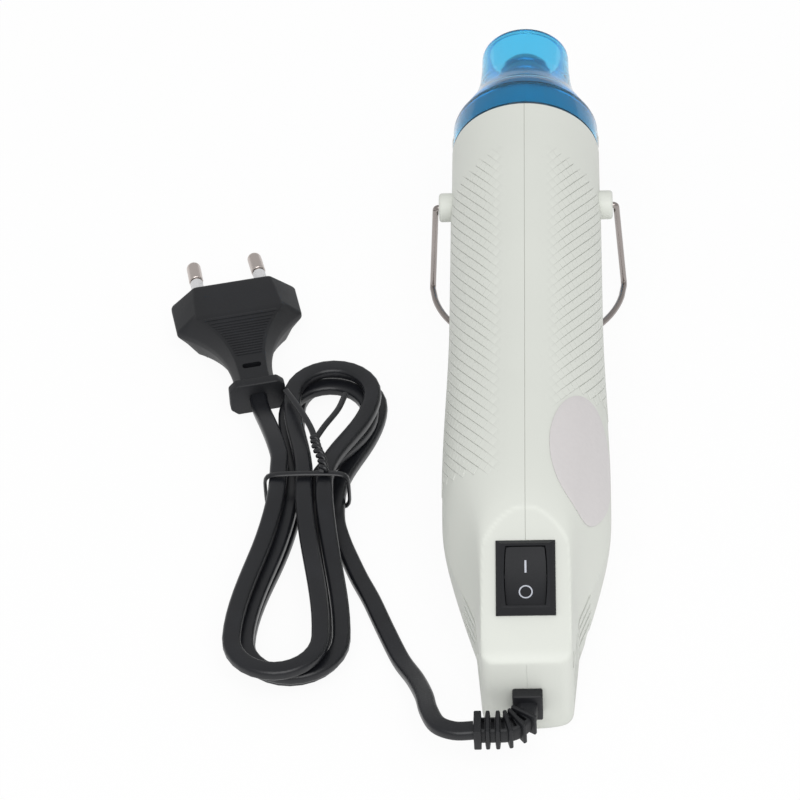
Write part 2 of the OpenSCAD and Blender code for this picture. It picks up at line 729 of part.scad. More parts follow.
module return_wire() {
    pts = [[0, inner_end_y + 0.1, relief_z - 1.2], [0, inner_end_y + 6, relief_z - 1.6], [0.5, along_tail(0.73), -10.2],
        [1.5, along_tail(0.46), -12], [3, board_y - 7, -11], [3.5, board_y - 3, -9.4], [3.5, board_y - 0.03, -9.2]];
    color([0.2, 0.3, 0.6]) placed() swept(smooth_path(pts, 3), wire_d, wire_d, 6, [1, 0, 0]);
}

// Wire bail: two pins in the bosses, two splayed legs and a half round foot
bail_r = bail_wire_d / 2;
leg_top_x = boss_span / 2 + bail_r + 0.3;
corner_cut = 0.25;
foot_over_deg = asin((bail_r - corner_cut) / bail_half_w);

module rod(a, b, r) {
    v = b - a;
    translate(a) rotate([0, acos(v[2] / norm(v)), atan2(v[1], v[0])]) cylinder(r = r, h = norm(v), $fn = 48);
}

module bail_stand() {
    color(steel_grey) translate([0, pivot_y, pivot_z]) {
        for (s = [-1, 1]) {
            top = [s * leg_top_x, 0, 0];
            corner = [s * bail_half_w, bail_leg * sin(bail_lean), -bail_leg * cos(bail_lean)];
            along = (corner - top) / norm(corner - top);
            rod([s * (tube_r - 3.4), 0, 0], top + [s * (bail_r - corner_cut), 0, 0], bail_r);
            rod(top - along * (bail_r - corner_cut), corner + along * (bail_r - corner_cut), bail_r - 0.02);
        }
        translate([0, bail_leg * sin(bail_lean), -bail_leg * cos(bail_lean)])
            rotate([0, 0, 180 - foot_over_deg]) rotate_extrude(angle = 180 + 2 * foot_over_deg, $fn = 96)
                translate([bail_half_w, 0]) circle(r = bail_r, $fn = 48);
    }
}

// Two screws through the right shell into the left shell's posts
module housing_screws() {
    color(steel_grey) placed() for (q = screw_spots) translate([0, q[0], q[1]]) rotate([0, 90, 0]) {
        seat = flank_at(q) - screw_sink;
        translate([0, 0, -7]) cylinder(d = screw_d, h = seat + 7.4, $fn = 24);
        difference() {
            translate([0, 0, seat]) cylinder(r = screw_head_r, h = 1.5, $fn = 32);
            for (a = [0, 90]) rotate([0, 0, a]) translate([-1.3, -0.3, seat + 0.8]) cube([2.6, 0.6, 2]);
        }
    }
}

// Clamp bar over the cord's inner end
module cord_clamp() {
    color([0.2, 0.2, 0.2]) placed() difference() {
        translate([cord_t / 2 + 0.05, clamp_y - 2.4, relief_z - clamp_gap - 2.4])
            cube([2, 4.8, 2 * clamp_gap + 4.8]);
        for (k = [-1, 1]) translate([0, clamp_y, relief_z + k * clamp_gap]) rotate([0, 90, 0])
            cylinder(d = clamp_screw_d + 0.3, h = 8, $fn = 24);
    }
}

module clamp_screws() {
    color(steel_grey) placed() for (k = [-1, 1])
        translate([0, clamp_y, relief_z + k * clamp_gap]) rotate([0, 90, 0]) {
            translate([0, 0, -6]) cylinder(d = clamp_screw_d, h = 8.1 + cord_t / 2, $fn = 24);
            translate([0, 0, cord_t / 2 + 2.07]) cylinder(r = 1.7, h = 1.2, $fn = 24);
        }
}

// The cord's sheath inside the shells, gripped by the clamp
module flat_section() {
    core = (cord_w - cord_t) / 2;
    for (s = [-1, 1]) translate([0, s * core]) circle(d = cord_t, $fn = 32);
    translate([-cord_t / 2, -core]) square([cord_t, 2 * core]);
}

module cord_inner_end() {
    color(cord_black) placed() translate([0, -rear_len + wall + 1.62, relief_z]) rotate([-90, 0, 0])
        linear_extrude(rear_len - wall - 1.62 + inner_end_y) flat_section();
}

// Strain relief: flange, curved core and square fins, turned to the left
relief_bend_r = 6.5;
relief_stub = 3;
relief_run = 7;
relief_core_r = 2.6;
flange_size = [7.6, 3, 9.4];
relief_arc = 90;
relief_len = relief_stub + relief_bend_r * PI / 2 + relief_run;

function relief_at(d) = d < relief_stub ? [0, -rear_len - d, relief_z, 0]
    : d < relief_stub + relief_bend_r * PI / 2
    ? let (a = (d - relief_stub) / relief_bend_r * 180 / PI)
        [-relief_bend_r + relief_bend_r * cos(a), -rear_len - relief_stub - relief_bend_r * sin(a), relief_z, a]
    : [-relief_bend_r - (d - relief_stub - relief_bend_r * PI / 2), -rear_len - relief_stub - relief_bend_r,
        relief_z, 90];

module strain_relief() {
    color(cord_black) placed() {
        translate([-flange_size[0] / 2, -rear_len - flange_size[1], relief_z - flange_size[2] / 2])
            cube([flange_size[0], flange_size[1] - 0.02, flange_size[2]]);
        translate([-relief_neck / 2, -rear_len - 1, relief_z - relief_neck / 2])
            cube([relief_neck, wall + 1.1, relief_neck]);
        translate([-relief_neck / 2 - 1.4, -rear_len + wall + 0.1, relief_z - relief_neck / 2 - 1.4])
            cube([relief_neck + 2.8, 1.5, relief_neck + 2.8]);
        translate([0, -rear_len - relief_stub, relief_z]) rotate([90, 0, 0])
            translate([0, 0, -1]) cylinder(r = relief_core_r, h = 1, $fn = 32);
        translate([-relief_bend_r, -rear_len - relief_stub, relief_z]) rotate([180, 0, 0])
            rotate_extrude(angle = relief_arc, $fn = 64) translate([relief_bend_r, 0])
                circle(r = relief_core_r, $fn = 32);
        translate([-relief_bend_r + eps, -rear_len - relief_stub - relief_bend_r, relief_z])
            rotate([0, -90, 0]) cylinder(r = relief_core_r, h = relief_run, $fn = 32);
        for (k = [1:fin_count]) {
            d = relief_stub + 1 + (relief_len - relief_stub - 2) * k / fin_count;
            q = relief_at(d);
            thick = k == fin_count ? 1.9 : 1.1;
            translate([q[0], q[1], q[2]]) rotate([0, 0, -q[3]])
                translate([-fin_size / 2, -thick / 2, -fin_size / 2]) cube([fin_size, thick, fin_size]);
        }
    }
}

// Plain oval sticker on the right flank
label_l = 42;
label_w = 24;
label_y = -107;
label_deg = 48;
label_skin = 0.25;
label_rims = [for (k = [1:6]) k / 6];
label_gap = 0.07;
label_sides = 36;
function label_point(rim, k, lift) =
    let (a = 360 * k / label_sides, back = -label_y + rim * label_l / 2 * cos(a),
        turn = 90 - label_deg + rim * label_w / 2 * sin(a) / swell_r * 180 / PI,
        r = section_r(back, turn, -lift))
    [r * cos(turn), -back, r * sin(turn)];
module label_sticker() {
    n = label_sides;
    m = len(label_rims);
    pts = concat(
        [for (lift = [label_gap + label_skin, label_gap]) for (rim = label_rims) for (k = [0:n - 1])
            label_point(rim, k, lift)],
        [label_point(0, 0, label_gap + label_skin), label_point(0, 0, label_gap)]);
    color(label_grey) placed() polyhedron(points = pts, faces = concat(
        [for (k = [0:n - 1]) [2 * m * n, k, (k + 1) % n]],
        [for (q = [0:m - 2]) for (k = [0:n - 1]) for (t = [0, 1])
            let (j = (k + 1) % n, a = q * n, b = (q + 1) * n)
            t == 0 ? [a + k, b + k, b + j] : [a + k, b + j, a + j]],
        [for (k = [0:n - 1]) for (t = [0, 1])
            let (j = (k + 1) % n, a = (m - 1) * n, b = (2 * m - 1) * n)
            t == 0 ? [a + k, b + k, b + j] : [a + k, b + j, a + j]],
        [for (q = [0:m - 2]) for (k = [0:n - 1]) for (t = [0, 1])
            let (j = (k + 1) % n, a = (m + q) * n, b = (m + q + 1) * n)
            t == 0 ? [b + k, a + k, b + j] : [b + j, a + k, a + j]],
        [for (k = [0:n - 1]) [m * n + k, 2 * m * n + 1, m * n + (k + 1) % n]]), convexity = 4);
}

// Cord route on the surface: hand-placed points from the relief to the hank
end_of_relief = relief_at(relief_len);
function to_row(p) = [p[0], pivot_y + p[1] * cos(tilt) - p[2] * sin(tilt),
    pivot_z + p[1] * sin(tilt) + p[2] * cos(tilt)];
lead_start = to_row([end_of_relief[0], end_of_relief[1], end_of_relief[2]]);
hank_x = -59.7;
hank_y = -30;
hank_deg = 0;
cord_rest_z = cord_t / 2 + 0.05;
layer_step = cord_t + 0.6;
tie_lift = 1.8;
lead_points_free = [[-22.6, -119.8, 12], [-25, -113.5, 10.4], [-26.4, -106, 8], [-28.9, -97.5, 5],
    [-32.8, -88.3, 2.4], [-37, -77, 1.7], [-41, -66, 1.7], [-44.4, -58, 1.7], [-47.1, -51, 2], [-49.1, -45.5, 2.4]];

// The hank: waist crossings and half loops, above and below in turn
waist_u = [8.4, -3, 2.9, -3.6, 5.5, 0.1, -6.8];
waist_layer = [0, 0, 1, 1, 2, 2, 2];
loop_len = [49, 63, 43, 66, 46, 68];
loop_r = [11.3, 12, 11.3, 12.5, 11, 11.5];
loop_mid = [7.4, -1.5, 5.3, -1, 6.4, -5];
limb_rings = 4;
lead_in = cord_w;

function waist_rise(v) = tie_lift * (1 - ease(4, 26, abs(v)));
function climb(v) = 1 - ease(5, 35, abs(v));
function hank_z(v, layer) = cord_rest_z + waist_rise(v) + layer_step * layer;
function half_loop(i, k) =
    let (s = i % 2 == 0 ? 1 : -1, side = waist_u[i] > waist_u[i + 1] ? 1 : -1,
        straight = loop_len[i] - loop_r[i], m = limb_rings, q = k / m, b = 3 - q, z0 = waist_layer[i])
    k <= m
    ? [waist_u[i] + (loop_mid[i] + side * loop_r[i] - waist_u[i]) * ease(0, 1, q), s * straight * q,
        hank_z(straight * q, z0)]
    : k < 2 * m
    ? [loop_mid[i] + side * loop_r[i] * cos(180 * (q - 1)), s * (straight + loop_r[i] * sin(180 * (q - 1))),
        hank_z(loop_len[i], z0)]
    : [waist_u[i + 1] + (loop_mid[i] - side * loop_r[i] - waist_u[i + 1]) * ease(0, 1, b), s * straight * b,
        hank_z(straight * b, z0 + (waist_layer[i + 1] - z0) * climb(straight * b))];
hank_curve = concat(
    [[waist_u[0], -lead_in, hank_z(lead_in, 0)]],
    [for (i = [0:len(loop_len) - 1]) for (k = [0:3 * limb_rings - 1]) half_loop(i, k)],
    [half_loop(len(loop_len) - 1, 3 * limb_rings)],
    [[waist_u[6], lead_in, hank_z(lead_in, waist_layer[6])]]);
function hank_to_row(p) = [hank_x + p[0] * cos(hank_deg) - p[1] * sin(hank_deg),
    hank_y + p[0] * sin(hank_deg) + p[1] * cos(hank_deg), p[2]];
hank_points = [for (p = hank_curve) hank_to_row(p)];
hank_start = hank_points[0];
hank_end = hank_points[len(hank_points) - 1];

// Least gap of the hank to itself, across the run at each point, neighbours along the run left out
skip = 3;
facing = 4.5;
hank_gap = min([for (i = [1:len(hank_points) - 2]) for (j = [0:len(hank_points) - 1])
    let (along = hank_points[i + 1] - hank_points[i - 1], t = along / norm(along),
        d = hank_points[j] - hank_points[i], side = cross(t, [0, 0, 1]), up = cross(side / norm(side), t))
    if (abs(i - j) > skip && abs(d * t) < facing)
        max(abs(d * side) / norm(side) - cord_w, abs(d * up) - cord_t)]);
hank_len = [for (i = 1, s = 0; i < len(hank_points); s = s + norm(hank_points[i] - hank_points[i - 1]),
    i = i + 1) s];

module cord_lead() {
    a = lead_start;
    back = hank_to_row([waist_u[0] + 0.5, -lead_in - cord_w, hank_z(lead_in + cord_w, 0)]);
    pts = concat([a, a + [-cord_w, 0, -0.1]], lead_points_free, [back, hank_start]);
    color(cord_black) swept(smooth_path(pts, 3), cord_w, cord_t, 8, [0, 0, 1]);
}

module cord_hank() {
    echo(least_gap_of_hank_to_itself = hank_gap);
    echo(hank_length = hank_len[len(hank_len) - 1]);
    color(cord_black) swept(hank_points, cord_w, cord_t, 6, [0, 0, 1]);
}

// Plug: flat two pin body lying on its face, six sided, drawn in to the neck and its collar
plug_x = -82.94;
plug_y = 48.81;
plug_turn = 12.4;
collar_w = 15.4;
collar_h = 10.4;
collar_len = 3;
collar_cut = 2.7;
head_len = 11.7;
top_share = 0.62;

module at_plug() {
    translate([plug_x, plug_y, plug_t / 2]) rotate([0, 0, plug_turn]) children();
}
function plug_to_row(p) = [plug_x + p[0] * cos(plug_turn) - p[1] * sin(plug_turn),
    plug_y + p[0] * sin(plug_turn) + p[1] * cos(plug_turn), plug_t / 2 + p[2]];
tail_end = plug_to_row([0, -plug_len, 0]);

module cord_tail() {
    before = plug_to_row([0, -plug_len - cord_w, 0]);
    pts = [hank_end, hank_to_row([-6.9, 9.6, 10.95]), hank_to_row([-8.2, 15.5, 10.5]),
        hank_to_row([-10.4, 23.5, 9]), before, tail_end];
    color(cord_black) swept(smooth_path(pts, 3), cord_w, cord_t, 8, [0, 0, 1]);
}

// One section of the plug: half width at mid height, half width on top, half thickness
function plug_ring(back, mid, top, half) = [[mid, -back, 0], [top, -back, half], [-top, -back, half],
    [-mid, -back, 0], [-top, -back, -half], [top, -back, -half]];

module plug_body() {
    hw = plug_w / 2;
    ht = plug_t / 2;
    taper = plug_len - head_len - collar_len;
    color(cord_black) at_plug() {
        skin([plug_ring(0, hw - 0.7, hw * top_share - 0.5, ht - 0.6), plug_ring(0.7, hw, hw * top_share, ht),
            plug_ring(head_len, hw, hw * (top_share + 0.06), ht),
            plug_ring(head_len + taper * 0.07, hw * 0.88, hw * 0.69, ht),
            plug_ring(head_len + taper * 0.18, hw * 0.69, hw * 0.52, ht * 0.9),
            plug_ring(head_len + taper * 0.43, hw * 0.45, hw * 0.34, ht * 0.76),
            plug_ring(head_len + taper * 0.72, hw * 0.32, hw * 0.26, ht * 0.66),
            plug_ring(head_len + taper + 0.5, hw * 0.31, hw * 0.22, ht * 0.6)]);
        translate([0, collar_len - plug_len, 0]) rotate([90, 0, 0]) linear_extrude(collar_len) intersection() {
            square([collar_w, collar_h], center = true);
            rotate(45) square((collar_w + collar_h) / sqrt(2) - collar_cut, center = true);
        }
    }
}

sleeve_len = 9;
pin_tip = 1.5;
module plug_pins() {
    color(steel_grey) at_plug() for (s = [-1, 1]) translate([s * pin_pitch / 2, 0.02, 0]) lengthwise() {
        cylinder(r = pin_d / 2 - 0.5, h = sleeve_len + 0.1, $fn = 32);
        translate([0, 0, sleeve_len]) cylinder(d = pin_d, h = pin_len - sleeve_len - pin_tip, $fn = 32);
        translate([0, 0, pin_len - pin_tip])
            cylinder(r1 = pin_d / 2, r2 = pin_d / 2 - 0.9, h = pin_tip, $fn = 32);
    }
}

module pin_sleeves() {
    color([0.85, 0.85, 0.85]) at_plug() for (s = [-1, 1]) translate([s * pin_pitch / 2, 0.02, 0]) lengthwise()
        difference() {
            cylinder(r = pin_d / 2 - 0.2, h = sleeve_len - 0.05, $fn = 32);
            translate([0, 0, -1]) cylinder(r = pin_d / 2 - 0.47, h = sleeve_len + 2, $fn = 32);
        }
}

// Twist tie: a loop round the waist, a twisted stem and two loose ends
tie_d = 1.5;
tie_mid = (max(waist_u) + min(waist_u)) / 2;
tie_half_w = (max(waist_u) - min(waist_u)) / 2 + cord_w / 2 + tie_d / 2 + 0.4;
tie_low = tie_d / 2 + 0.02;
tie_high = hank_z(0, 2) + cord_t / 2 + tie_d / 2 + 0.3;
tie_stem = [[5.6, 0.3, tie_high + 0.6], [4.9, 4.5, tie_high + 1], [3.4, 9, tie_high + 0.9],
    [2.6, 13, tie_high + 0.7]];
tie_left = [[2.8, 12, tie_high + 0.9], [1.4, 17, tie_high + 1], [-2, 25, tie_high + 0.6],
    [-6, 33, tie_high - 0.2]];
tie_right = [[2.8, 12, tie_high + 0.9], [5.2, 17, tie_high + 1.2], [8.6, 24, tie_high + 0.8],
    [10.3, 31, tie_high]];

module closed_swept(pts, d, n) {
    m = len(pts);
    rings = [for (i = [0:m - 1]) let (a = pts[(i + m - 1) % m], b = pts[(i + 1) % m], t = sub_unit(b - a),
            u = [0, 1, 0], s = sub_unit(cross(t, u)))
        [for (k = [0:n - 1]) pts[i] + s * d / 2 * cos(360 * k / n) + u * d / 2 * sin(360 * k / n)]];
    polyhedron(points = [for (r = rings) for (p = r) p],
        faces = [for (k = [0:m - 1]) for (i = [0:n - 1]) for (t = [0, 1])
            let (j = (i + 1) % n, a = k * n, b = ((k + 1) % m) * n)
            t == 0 ? [a + i, a + j, b + j] : [a + i, b + j, b + i]], convexity = 6);
}

module cord_tie() {
    mid_z = (tie_low + tie_high) / 2;
    half_z = (tie_high - tie_low) / 2;
    loop = [for (i = [0:27]) let (a = 360 * i / 28, c = cos(a), s = sin(a),
            r = pow(pow(abs(c) / tie_half_w, 8) + pow(abs(s) / half_z, 8), -0.125))
        [tie_mid + r * c, 0, mid_z + r * s]];
    color(cord_black) translate([hank_x, hank_y, 0]) rotate([0, 0, hank_deg]) {
        closed_swept(loop, tie_d, 8);
        swept(smooth_path(tie_stem, 3), 2 * tie_d, tie_d + 0.4, 8, [0, 0, 1]);
        swept(smooth_path(tie_left, 3), tie_d, tie_d, 6, [0, 0, 1]);
        swept(smooth_path(tie_right, 3), tie_d, tie_d, 6, [0, 0, 1]);
    }
}

right_housing();
left_housing();
nozzle_cover();
outlet_shield();
mica_tube();
mica_cross();
heating_coil();
thermal_cutout();
heater_leads();
fan_impeller();
motor_can();
motor_magnets();
motor_end_cap();
motor_bushes();
motor_rotor();
commutator();
motor_shaft();
motor_mount();
rectifier_board();
rectifier_diodes();
switch_body();
switch_rocker();
switch_terminals();
supply_wire();
return_wire();
bail_stand();
housing_screws();
cord_clamp();
clamp_screws();
cord_inner_end();
strain_relief();
label_sticker();
cord_lead();
cord_hank();
cord_tail();
cord_tie();
plug_body();
plug_pins();
pin_sleeves();
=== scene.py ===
"""Embossing heat tool: the looks of the tool, its lead, hank and plug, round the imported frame."""

import math

import bmesh
import bpy
from mathutils import Matrix, Vector


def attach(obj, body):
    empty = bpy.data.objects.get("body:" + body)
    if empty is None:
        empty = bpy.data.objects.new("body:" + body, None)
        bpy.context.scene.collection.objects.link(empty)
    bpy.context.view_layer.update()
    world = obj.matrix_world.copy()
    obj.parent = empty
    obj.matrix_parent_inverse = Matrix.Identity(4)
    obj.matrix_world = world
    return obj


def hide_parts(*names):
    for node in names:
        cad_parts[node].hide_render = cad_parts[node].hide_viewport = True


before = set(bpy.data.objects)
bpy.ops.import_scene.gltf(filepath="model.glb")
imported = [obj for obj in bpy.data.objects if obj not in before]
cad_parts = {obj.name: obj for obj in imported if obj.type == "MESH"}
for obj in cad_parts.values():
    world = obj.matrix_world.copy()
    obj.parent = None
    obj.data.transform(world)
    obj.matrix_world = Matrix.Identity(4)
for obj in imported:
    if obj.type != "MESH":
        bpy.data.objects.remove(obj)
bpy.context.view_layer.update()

bl_info = {
    "name": "Embossing Heat Tool",
    "version": (1, 0, 0),
    "blender": (4, 5, 0),
    "location": "View3D > Sidebar > Heat Tool",
    "description": "Builds a slim hot air gun on a wire bail, with its lead and plug",
    "category": "Object",
}

# Lengths are worked out in millimetres, as on a drawing, and scaled once when a mesh is finished
MM = 0.001
SCALE = Matrix.Scale(MM, 4)

# Stage: the camera's angles, the place it looks at and its lens, and a plain level of light
CAMERA_AZIMUTH = math.radians(3.4846)
CAMERA_ELEVATION = math.radians(42.7)
CAMERA_ROLL = math.radians(-3.2804)
CAMERA_TARGET = Vector((-33.136, -24.127, 34.3))
CAMERA_DISTANCE = 1.1
CAMERA_LENS = 187.97
FLOOR_REACH = 3.0
FLOOR_DROP = 0.0002
FLOOR_GREY = 0.93
FLOOR_GLOW = 0.93
WORLD_STRENGTH = 0.62
LAMP_PLACE = Vector((0.12, -1.1, 1.4))
LAMP_SIZE = 1.5
LAMP_POWER = 18.5

# The tool's frame: Y along the barrel with the bail's pivot at the origin, tilted and set down
TILT = math.radians(4.8)
PIVOT = Vector((0.0, 53.9694, 34.3335))
TOOL = Matrix.Translation(PIVOT) @ Matrix.Rotation(TILT, 4, "X")

# Body sections, measured back from the pivot
LOFT_START = 46.0
FLANK_START = 124.0
FLANK_BEND = 148.5
BEND_WIDTH = 13.2
TAIL_WIDTH = 11.4
SLOT_SPLIT = 152.0
TAIL_ROUND = 3.0
PAD_TRIM = 0.4
EDGE_POWER = 20.0
BELLY_SPARE = 0.9
NECK_RADIUS = 18.4
NECK_BORE = 16.5
NECK_LENGTH = 8.3
LUG_Y = 24.95
SCREW_SPOTS = ((-163.5, 3.2), (-142.0, -14.5))
SCREW_SINK = 2.6
SCREW_RECESS_RADIUS = 2.25
SLOT_HEIGHT = 1.1
SLOT_PITCH = 3.2
SLOT_MIDDLE = -6.4
RELIEF_Z = -7.0
SWITCH_Y = -146.4
PAD_ANGLE = math.radians(17.0)
SIDE_CURVE = 70.0
BEZEL_SHIFT = -0.35
ROCKER_TIP = math.radians(9.0)
RIDGE_WIDTH = 0.6
RIDGE_HEIGHT = 0.1

# Grip: where it ends along the barrel and round it, where it fades, and its diamonds
GRIP_REAR = -116.5
GRIP_FRONT = 4.5
GRIP_START = math.radians(13.0)
GRIP_END = math.radians(150.0)
GRIP_FADE_TOP = (math.radians(14.0), math.radians(36.0))
GRIP_FADE_BELOW = (math.radians(151.0), math.radians(140.0))
DIAMOND_ACROSS = 1.33
DIAMOND_ALONG = 1.82
DIAMOND_SLOPE = 0.17
GRIP_CELLS = 72

# Sticker: how far round the flank from the top, its middle along the body, and its half sizes
LABEL_TURN = math.radians(48.0)
LABEL_MIDDLE = 106.6
LABEL_HALF_LENGTH = 20.5
LABEL_HALF_WIDTH = 12.0

# Plug: face centre above the surface, turn, and the lengths of its parts
PLUG_PLACE = Vector((-82.94, 48.81, 6.85))
PLUG_TURN = math.radians(12.4)
PLUG_LENGTH = 42.5
HEAD_LENGTH = 11.7
COLLAR_LENGTH = 3.0

# Cord route in the row frame, and the hank's crossings and half loops
HANK_PLACE = Vector((-59.7, -30.0, 0.0))
REST_HEIGHT = 1.65
LAYER_STEP = 3.8
TIE_LIFT = 1.8
TIE_FADE = (4.0, 26.0)
CLIMB = (5.0, 35.0)
LOOP_STEPS = 14
PATH_STEPS = 6
CORD_SIDES = 32
CORD_CORNER = 1.15
WAIST_U = (8.4, -3.0, 2.9, -3.6, 5.5, 0.1, -6.8)
WAIST_LAYER = (0, 0, 1, 1, 2, 2, 2)
LOOP_LENGTH = (49.0, 63.0, 43.0, 66.0, 46.0, 68.0)
LOOP_RADIUS = (11.3, 12.0, 11.3, 12.5, 11.0, 11.5)
LOOP_MIDDLE = (7.4, -1.5, 5.3, -1.0, 6.4, -5.0)
LEAD_POINTS = (
    (-22.6, -119.8, 12.0),
    (-25.0, -113.5, 10.4),
    (-26.4, -106.0, 8.0),
    (-28.9, -97.5, 5.0),
    (-32.8, -88.3, 2.4),
    (-37.0, -77.0, 1.7),
    (-41.0, -66.0, 1.7),
    (-44.4, -58.0, 1.7),
    (-47.1, -51.0, 2.0),
    (-49.1, -45.5, 2.4),
)
TAIL_POINTS = ((-6.9, 9.6, 10.95), (-8.2, 15.5, 10.5), (-10.4, 23.5, 9.0))

# Strain relief: stub, quarter bend to the left, short run
RELIEF_STUB = 3.0
RELIEF_BEND = 6.5
RELIEF_RUN = 7.0
RELIEF_LENGTH = RELIEF_STUB + RELIEF_BEND * math.pi / 2 + RELIEF_RUN
RELIEF_CORE = 2.6
RELIEF_FINS = 6


def length_prop(name, text, metres, low, high):
    """A length that a user can set, in metres."""
    return bpy.props.FloatProperty(
        name=name,
        description=text,
        default=metres,
        min=low,
        max=high,
        precision=5,
        unit="LENGTH",
        subtype="DISTANCE",
    )


def colour_prop(name, text, rgb):
    """A colour that a user can set."""
    return bpy.props.FloatVectorProperty(
        name=name, description=text, default=rgb, min=0.0, max=1.0, size=3, subtype="COLOR"
    )


class HeatToolSizes(bpy.types.PropertyGroup):
    """Sizes of the tool and of its lead."""

    tube_radius: length_prop("Body radius", "Radius of the straight front of the body", 0.0205, 0.019, 0.022)
    swell_radius: length_prop("Swell radius", "Radius of the swelling in the palm", 0.0219, 0.0216, 0.0226)
    wall: length_prop("Shell wall", "Wall of the two half shells", 0.0022, 0.0018, 0.0028)
    front_length: length_prop("Front length", "From the bail's pivot to the front rim", 0.02, 0.018, 0.024)
    rear_length: length_prop("Rear length", "From the bail's pivot to the rear face", 0.168, 0.165, 0.17)
    seam: length_prop("Seam", "Width of the chamfer where the half shells meet", 0.00011, 0.0, 0.0004)
    grip_height: length_prop("Grip height", "Height of the raised diamonds", 0.00018, 0.00005, 0.00025)
    cover_wall: length_prop("Cover wall", "Wall of the clear cover", 0.0015, 0.0012, 0.0018)
    bezel_length: length_prop("Bezel length", "Length of the switch bezel", 0.0203, 0.02, 0.0213)
    bezel_width: length_prop("Bezel width", "Width of the switch bezel", 0.015, 0.0146, 0.0154)
    bezel_height: length_prop("Bezel height", "Height of the bezel above the pad", 0.002, 0.0016, 0.0024)
    rocker_length: length_prop("Rocker length", "Length of the rocker", 0.0152, 0.0148, 0.016)
    rocker_width: length_prop("Rocker width", "Width of the rocker", 0.0104, 0.01, 0.0105)
    wire: length_prop("Bail wire", "Diameter of the bail's wire", 0.0017, 0.0015, 0.0018)
    cord_width: length_prop("Cord width", "Width of the flat twin cord", 0.0048, 0.0046, 0.005)
    cord_thickness: length_prop("Cord thickness", "Thickness of the flat twin cord", 0.0032, 0.003, 0.0033)
    tie: length_prop("Tie diameter", "Diameter of the twist tie", 0.0015, 0.0012, 0.0018)
    pin: length_prop("Pin diameter", "Diameter of the plug's pins", 0.004, 0.0038, 0.0042)


class HeatToolColours(bpy.types.PropertyGroup):
    """Colours of the moulded parts."""

    shell: colour_prop("Shell", "Warm light grey of the half shells", (0.695, 0.715, 0.665))
    cover: colour_prop("Cover", "Clear blue of the nozzle cover", (0.085, 0.57, 0.9))
    switch: colour_prop("Switch", "Charcoal of the bezel and rocker", (0.011, 0.0115, 0.0135))
    marks: colour_prop("Marks", "Printed on and off marks", (0.5, 0.52, 0.58))
    cord: colour_prop("Cord", "Black of the cord and plug", (0.0075, 0.0082, 0.0105))
    label: colour_prop("Label", "Grey of the blank oval sticker", (0.65, 0.625, 0.625))
    sleeve: colour_prop("Pin sleeves", "Light grey of the pin sleeves", (0.72, 0.72, 0.73))


def sizes():
    return bpy.context.scene.heat_tool_sizes


def colours():
    return bpy.context.scene.heat_tool_colours


def mm(value):
    """A length property in millimetres."""
    return value / MM


# Shapes


def clamp(value):
    return min(1.0, max(0.0, value))


def ease(start, end, value):
    t = clamp((value - start) / (end - start))
    return t * t * (3 - 2 * t)


def between(a, b, c, d, t):
    """A share t of the way from b to c, on the smooth curve through four numbers or points."""
    return b + 0.5 * t * (c - a + t * (2 * a - 5 * b + 4 * c - d + t * (3 * (b - c) + d - a)))


def knots(table, at):
    """The value at a place in a table of (place, value) knots, smooth through them."""
    places = [row[0] for row in table]
    values = [row[1] for row in table]
    last = len(values) - 1
    if at <= places[0]:
        return values[0]
    for i in range(last):
        if at <= places[i + 1]:
            t = (at - places[i]) / (places[i + 1] - places[i])
            return between(values[max(0, i - 1)], values[i], values[i + 1], values[min(last, i + 2)], t)
    return values[last]


def smooth_path(points, steps):
    """A smooth curve through given points."""
    points = [Vector(p) for p in points]
    last = len(points) - 1
    out = []
    for i in range(last):
        a, b, c, d = points[max(0, i - 1)], points[i], points[i + 1], points[min(last, i + 2)]
        out += [between(a, b, c, d, k / steps) for k in range(steps)]
    return out + [points[last]]


def edges_of(geom):
    return [g for g in geom if isinstance(g, bmesh.types.BMEdge)]


def verts_of(geom):
    return [g for g in geom if isinstance(g, bmesh.types.BMVert)]


def loft(bm, count, rings, caps=(True, True), closed=False):
    """Extrudes a circle of numbered points through rings, each a function of a point's number."""
    number = bm.verts.layers.int.get("number") or bm.verts.layers.int.new("number")
    verts = bmesh.ops.create_circle(bm, cap_ends=False, segments=count, radius=1.0)["verts"]
    for k, vert in enumerate(verts):
        vert[number] = k
        vert.co = rings[0](k)
    first = list(dict.fromkeys(e for v in verts for e in v.link_edges))
    edges = first
    for ring in rings[1:]:
        made = bmesh.ops.extrude_edge_only(bm, edges=edges)["geom"]
        fresh = set(verts_of(made))
        for vert in fresh:
            vert.co = ring(vert[number])
        edges = [e for e in edges_of(made) if e.verts[0] in fresh and e.verts[1] in fresh]
    if closed:
        bmesh.ops.bridge_loops(bm, edges=first + edges)
        return
    for wanted, loop in zip(caps, (first, edges)):
        if wanted:
            bmesh.ops.edgeloop_fill(bm, edges=loop)


def frames(path, up):
    """Sideways and upward directions square to each point of a path."""
    out = []
    for i, point in enumerate(path):
        along = (path[min(len(path) - 1, i + 1)] - path[max(0, i - 1)]).normalized()
        side = along.cross(up).normalized()
        out.append((point, side, side.cross(along)))
    return out


def sweep(bm, path, section, up=Vector((0, 0, 1)), caps=(True, True)):
    """A tube of one section, a list of (sideways, upward) places, along a path."""

    def ring(place):
        point, side, top = place
        return lambda k: point + side * section[k][0] + top * section[k][1]

    loft(bm, len(section), [ring(f) for f in frames(path, up)], caps)


def round_section(radius, count):
    turns = [math.tau * k / count for k in range(count)]
    return [(radius * math.cos(a), radius * math.sin(a)) for a in turns]


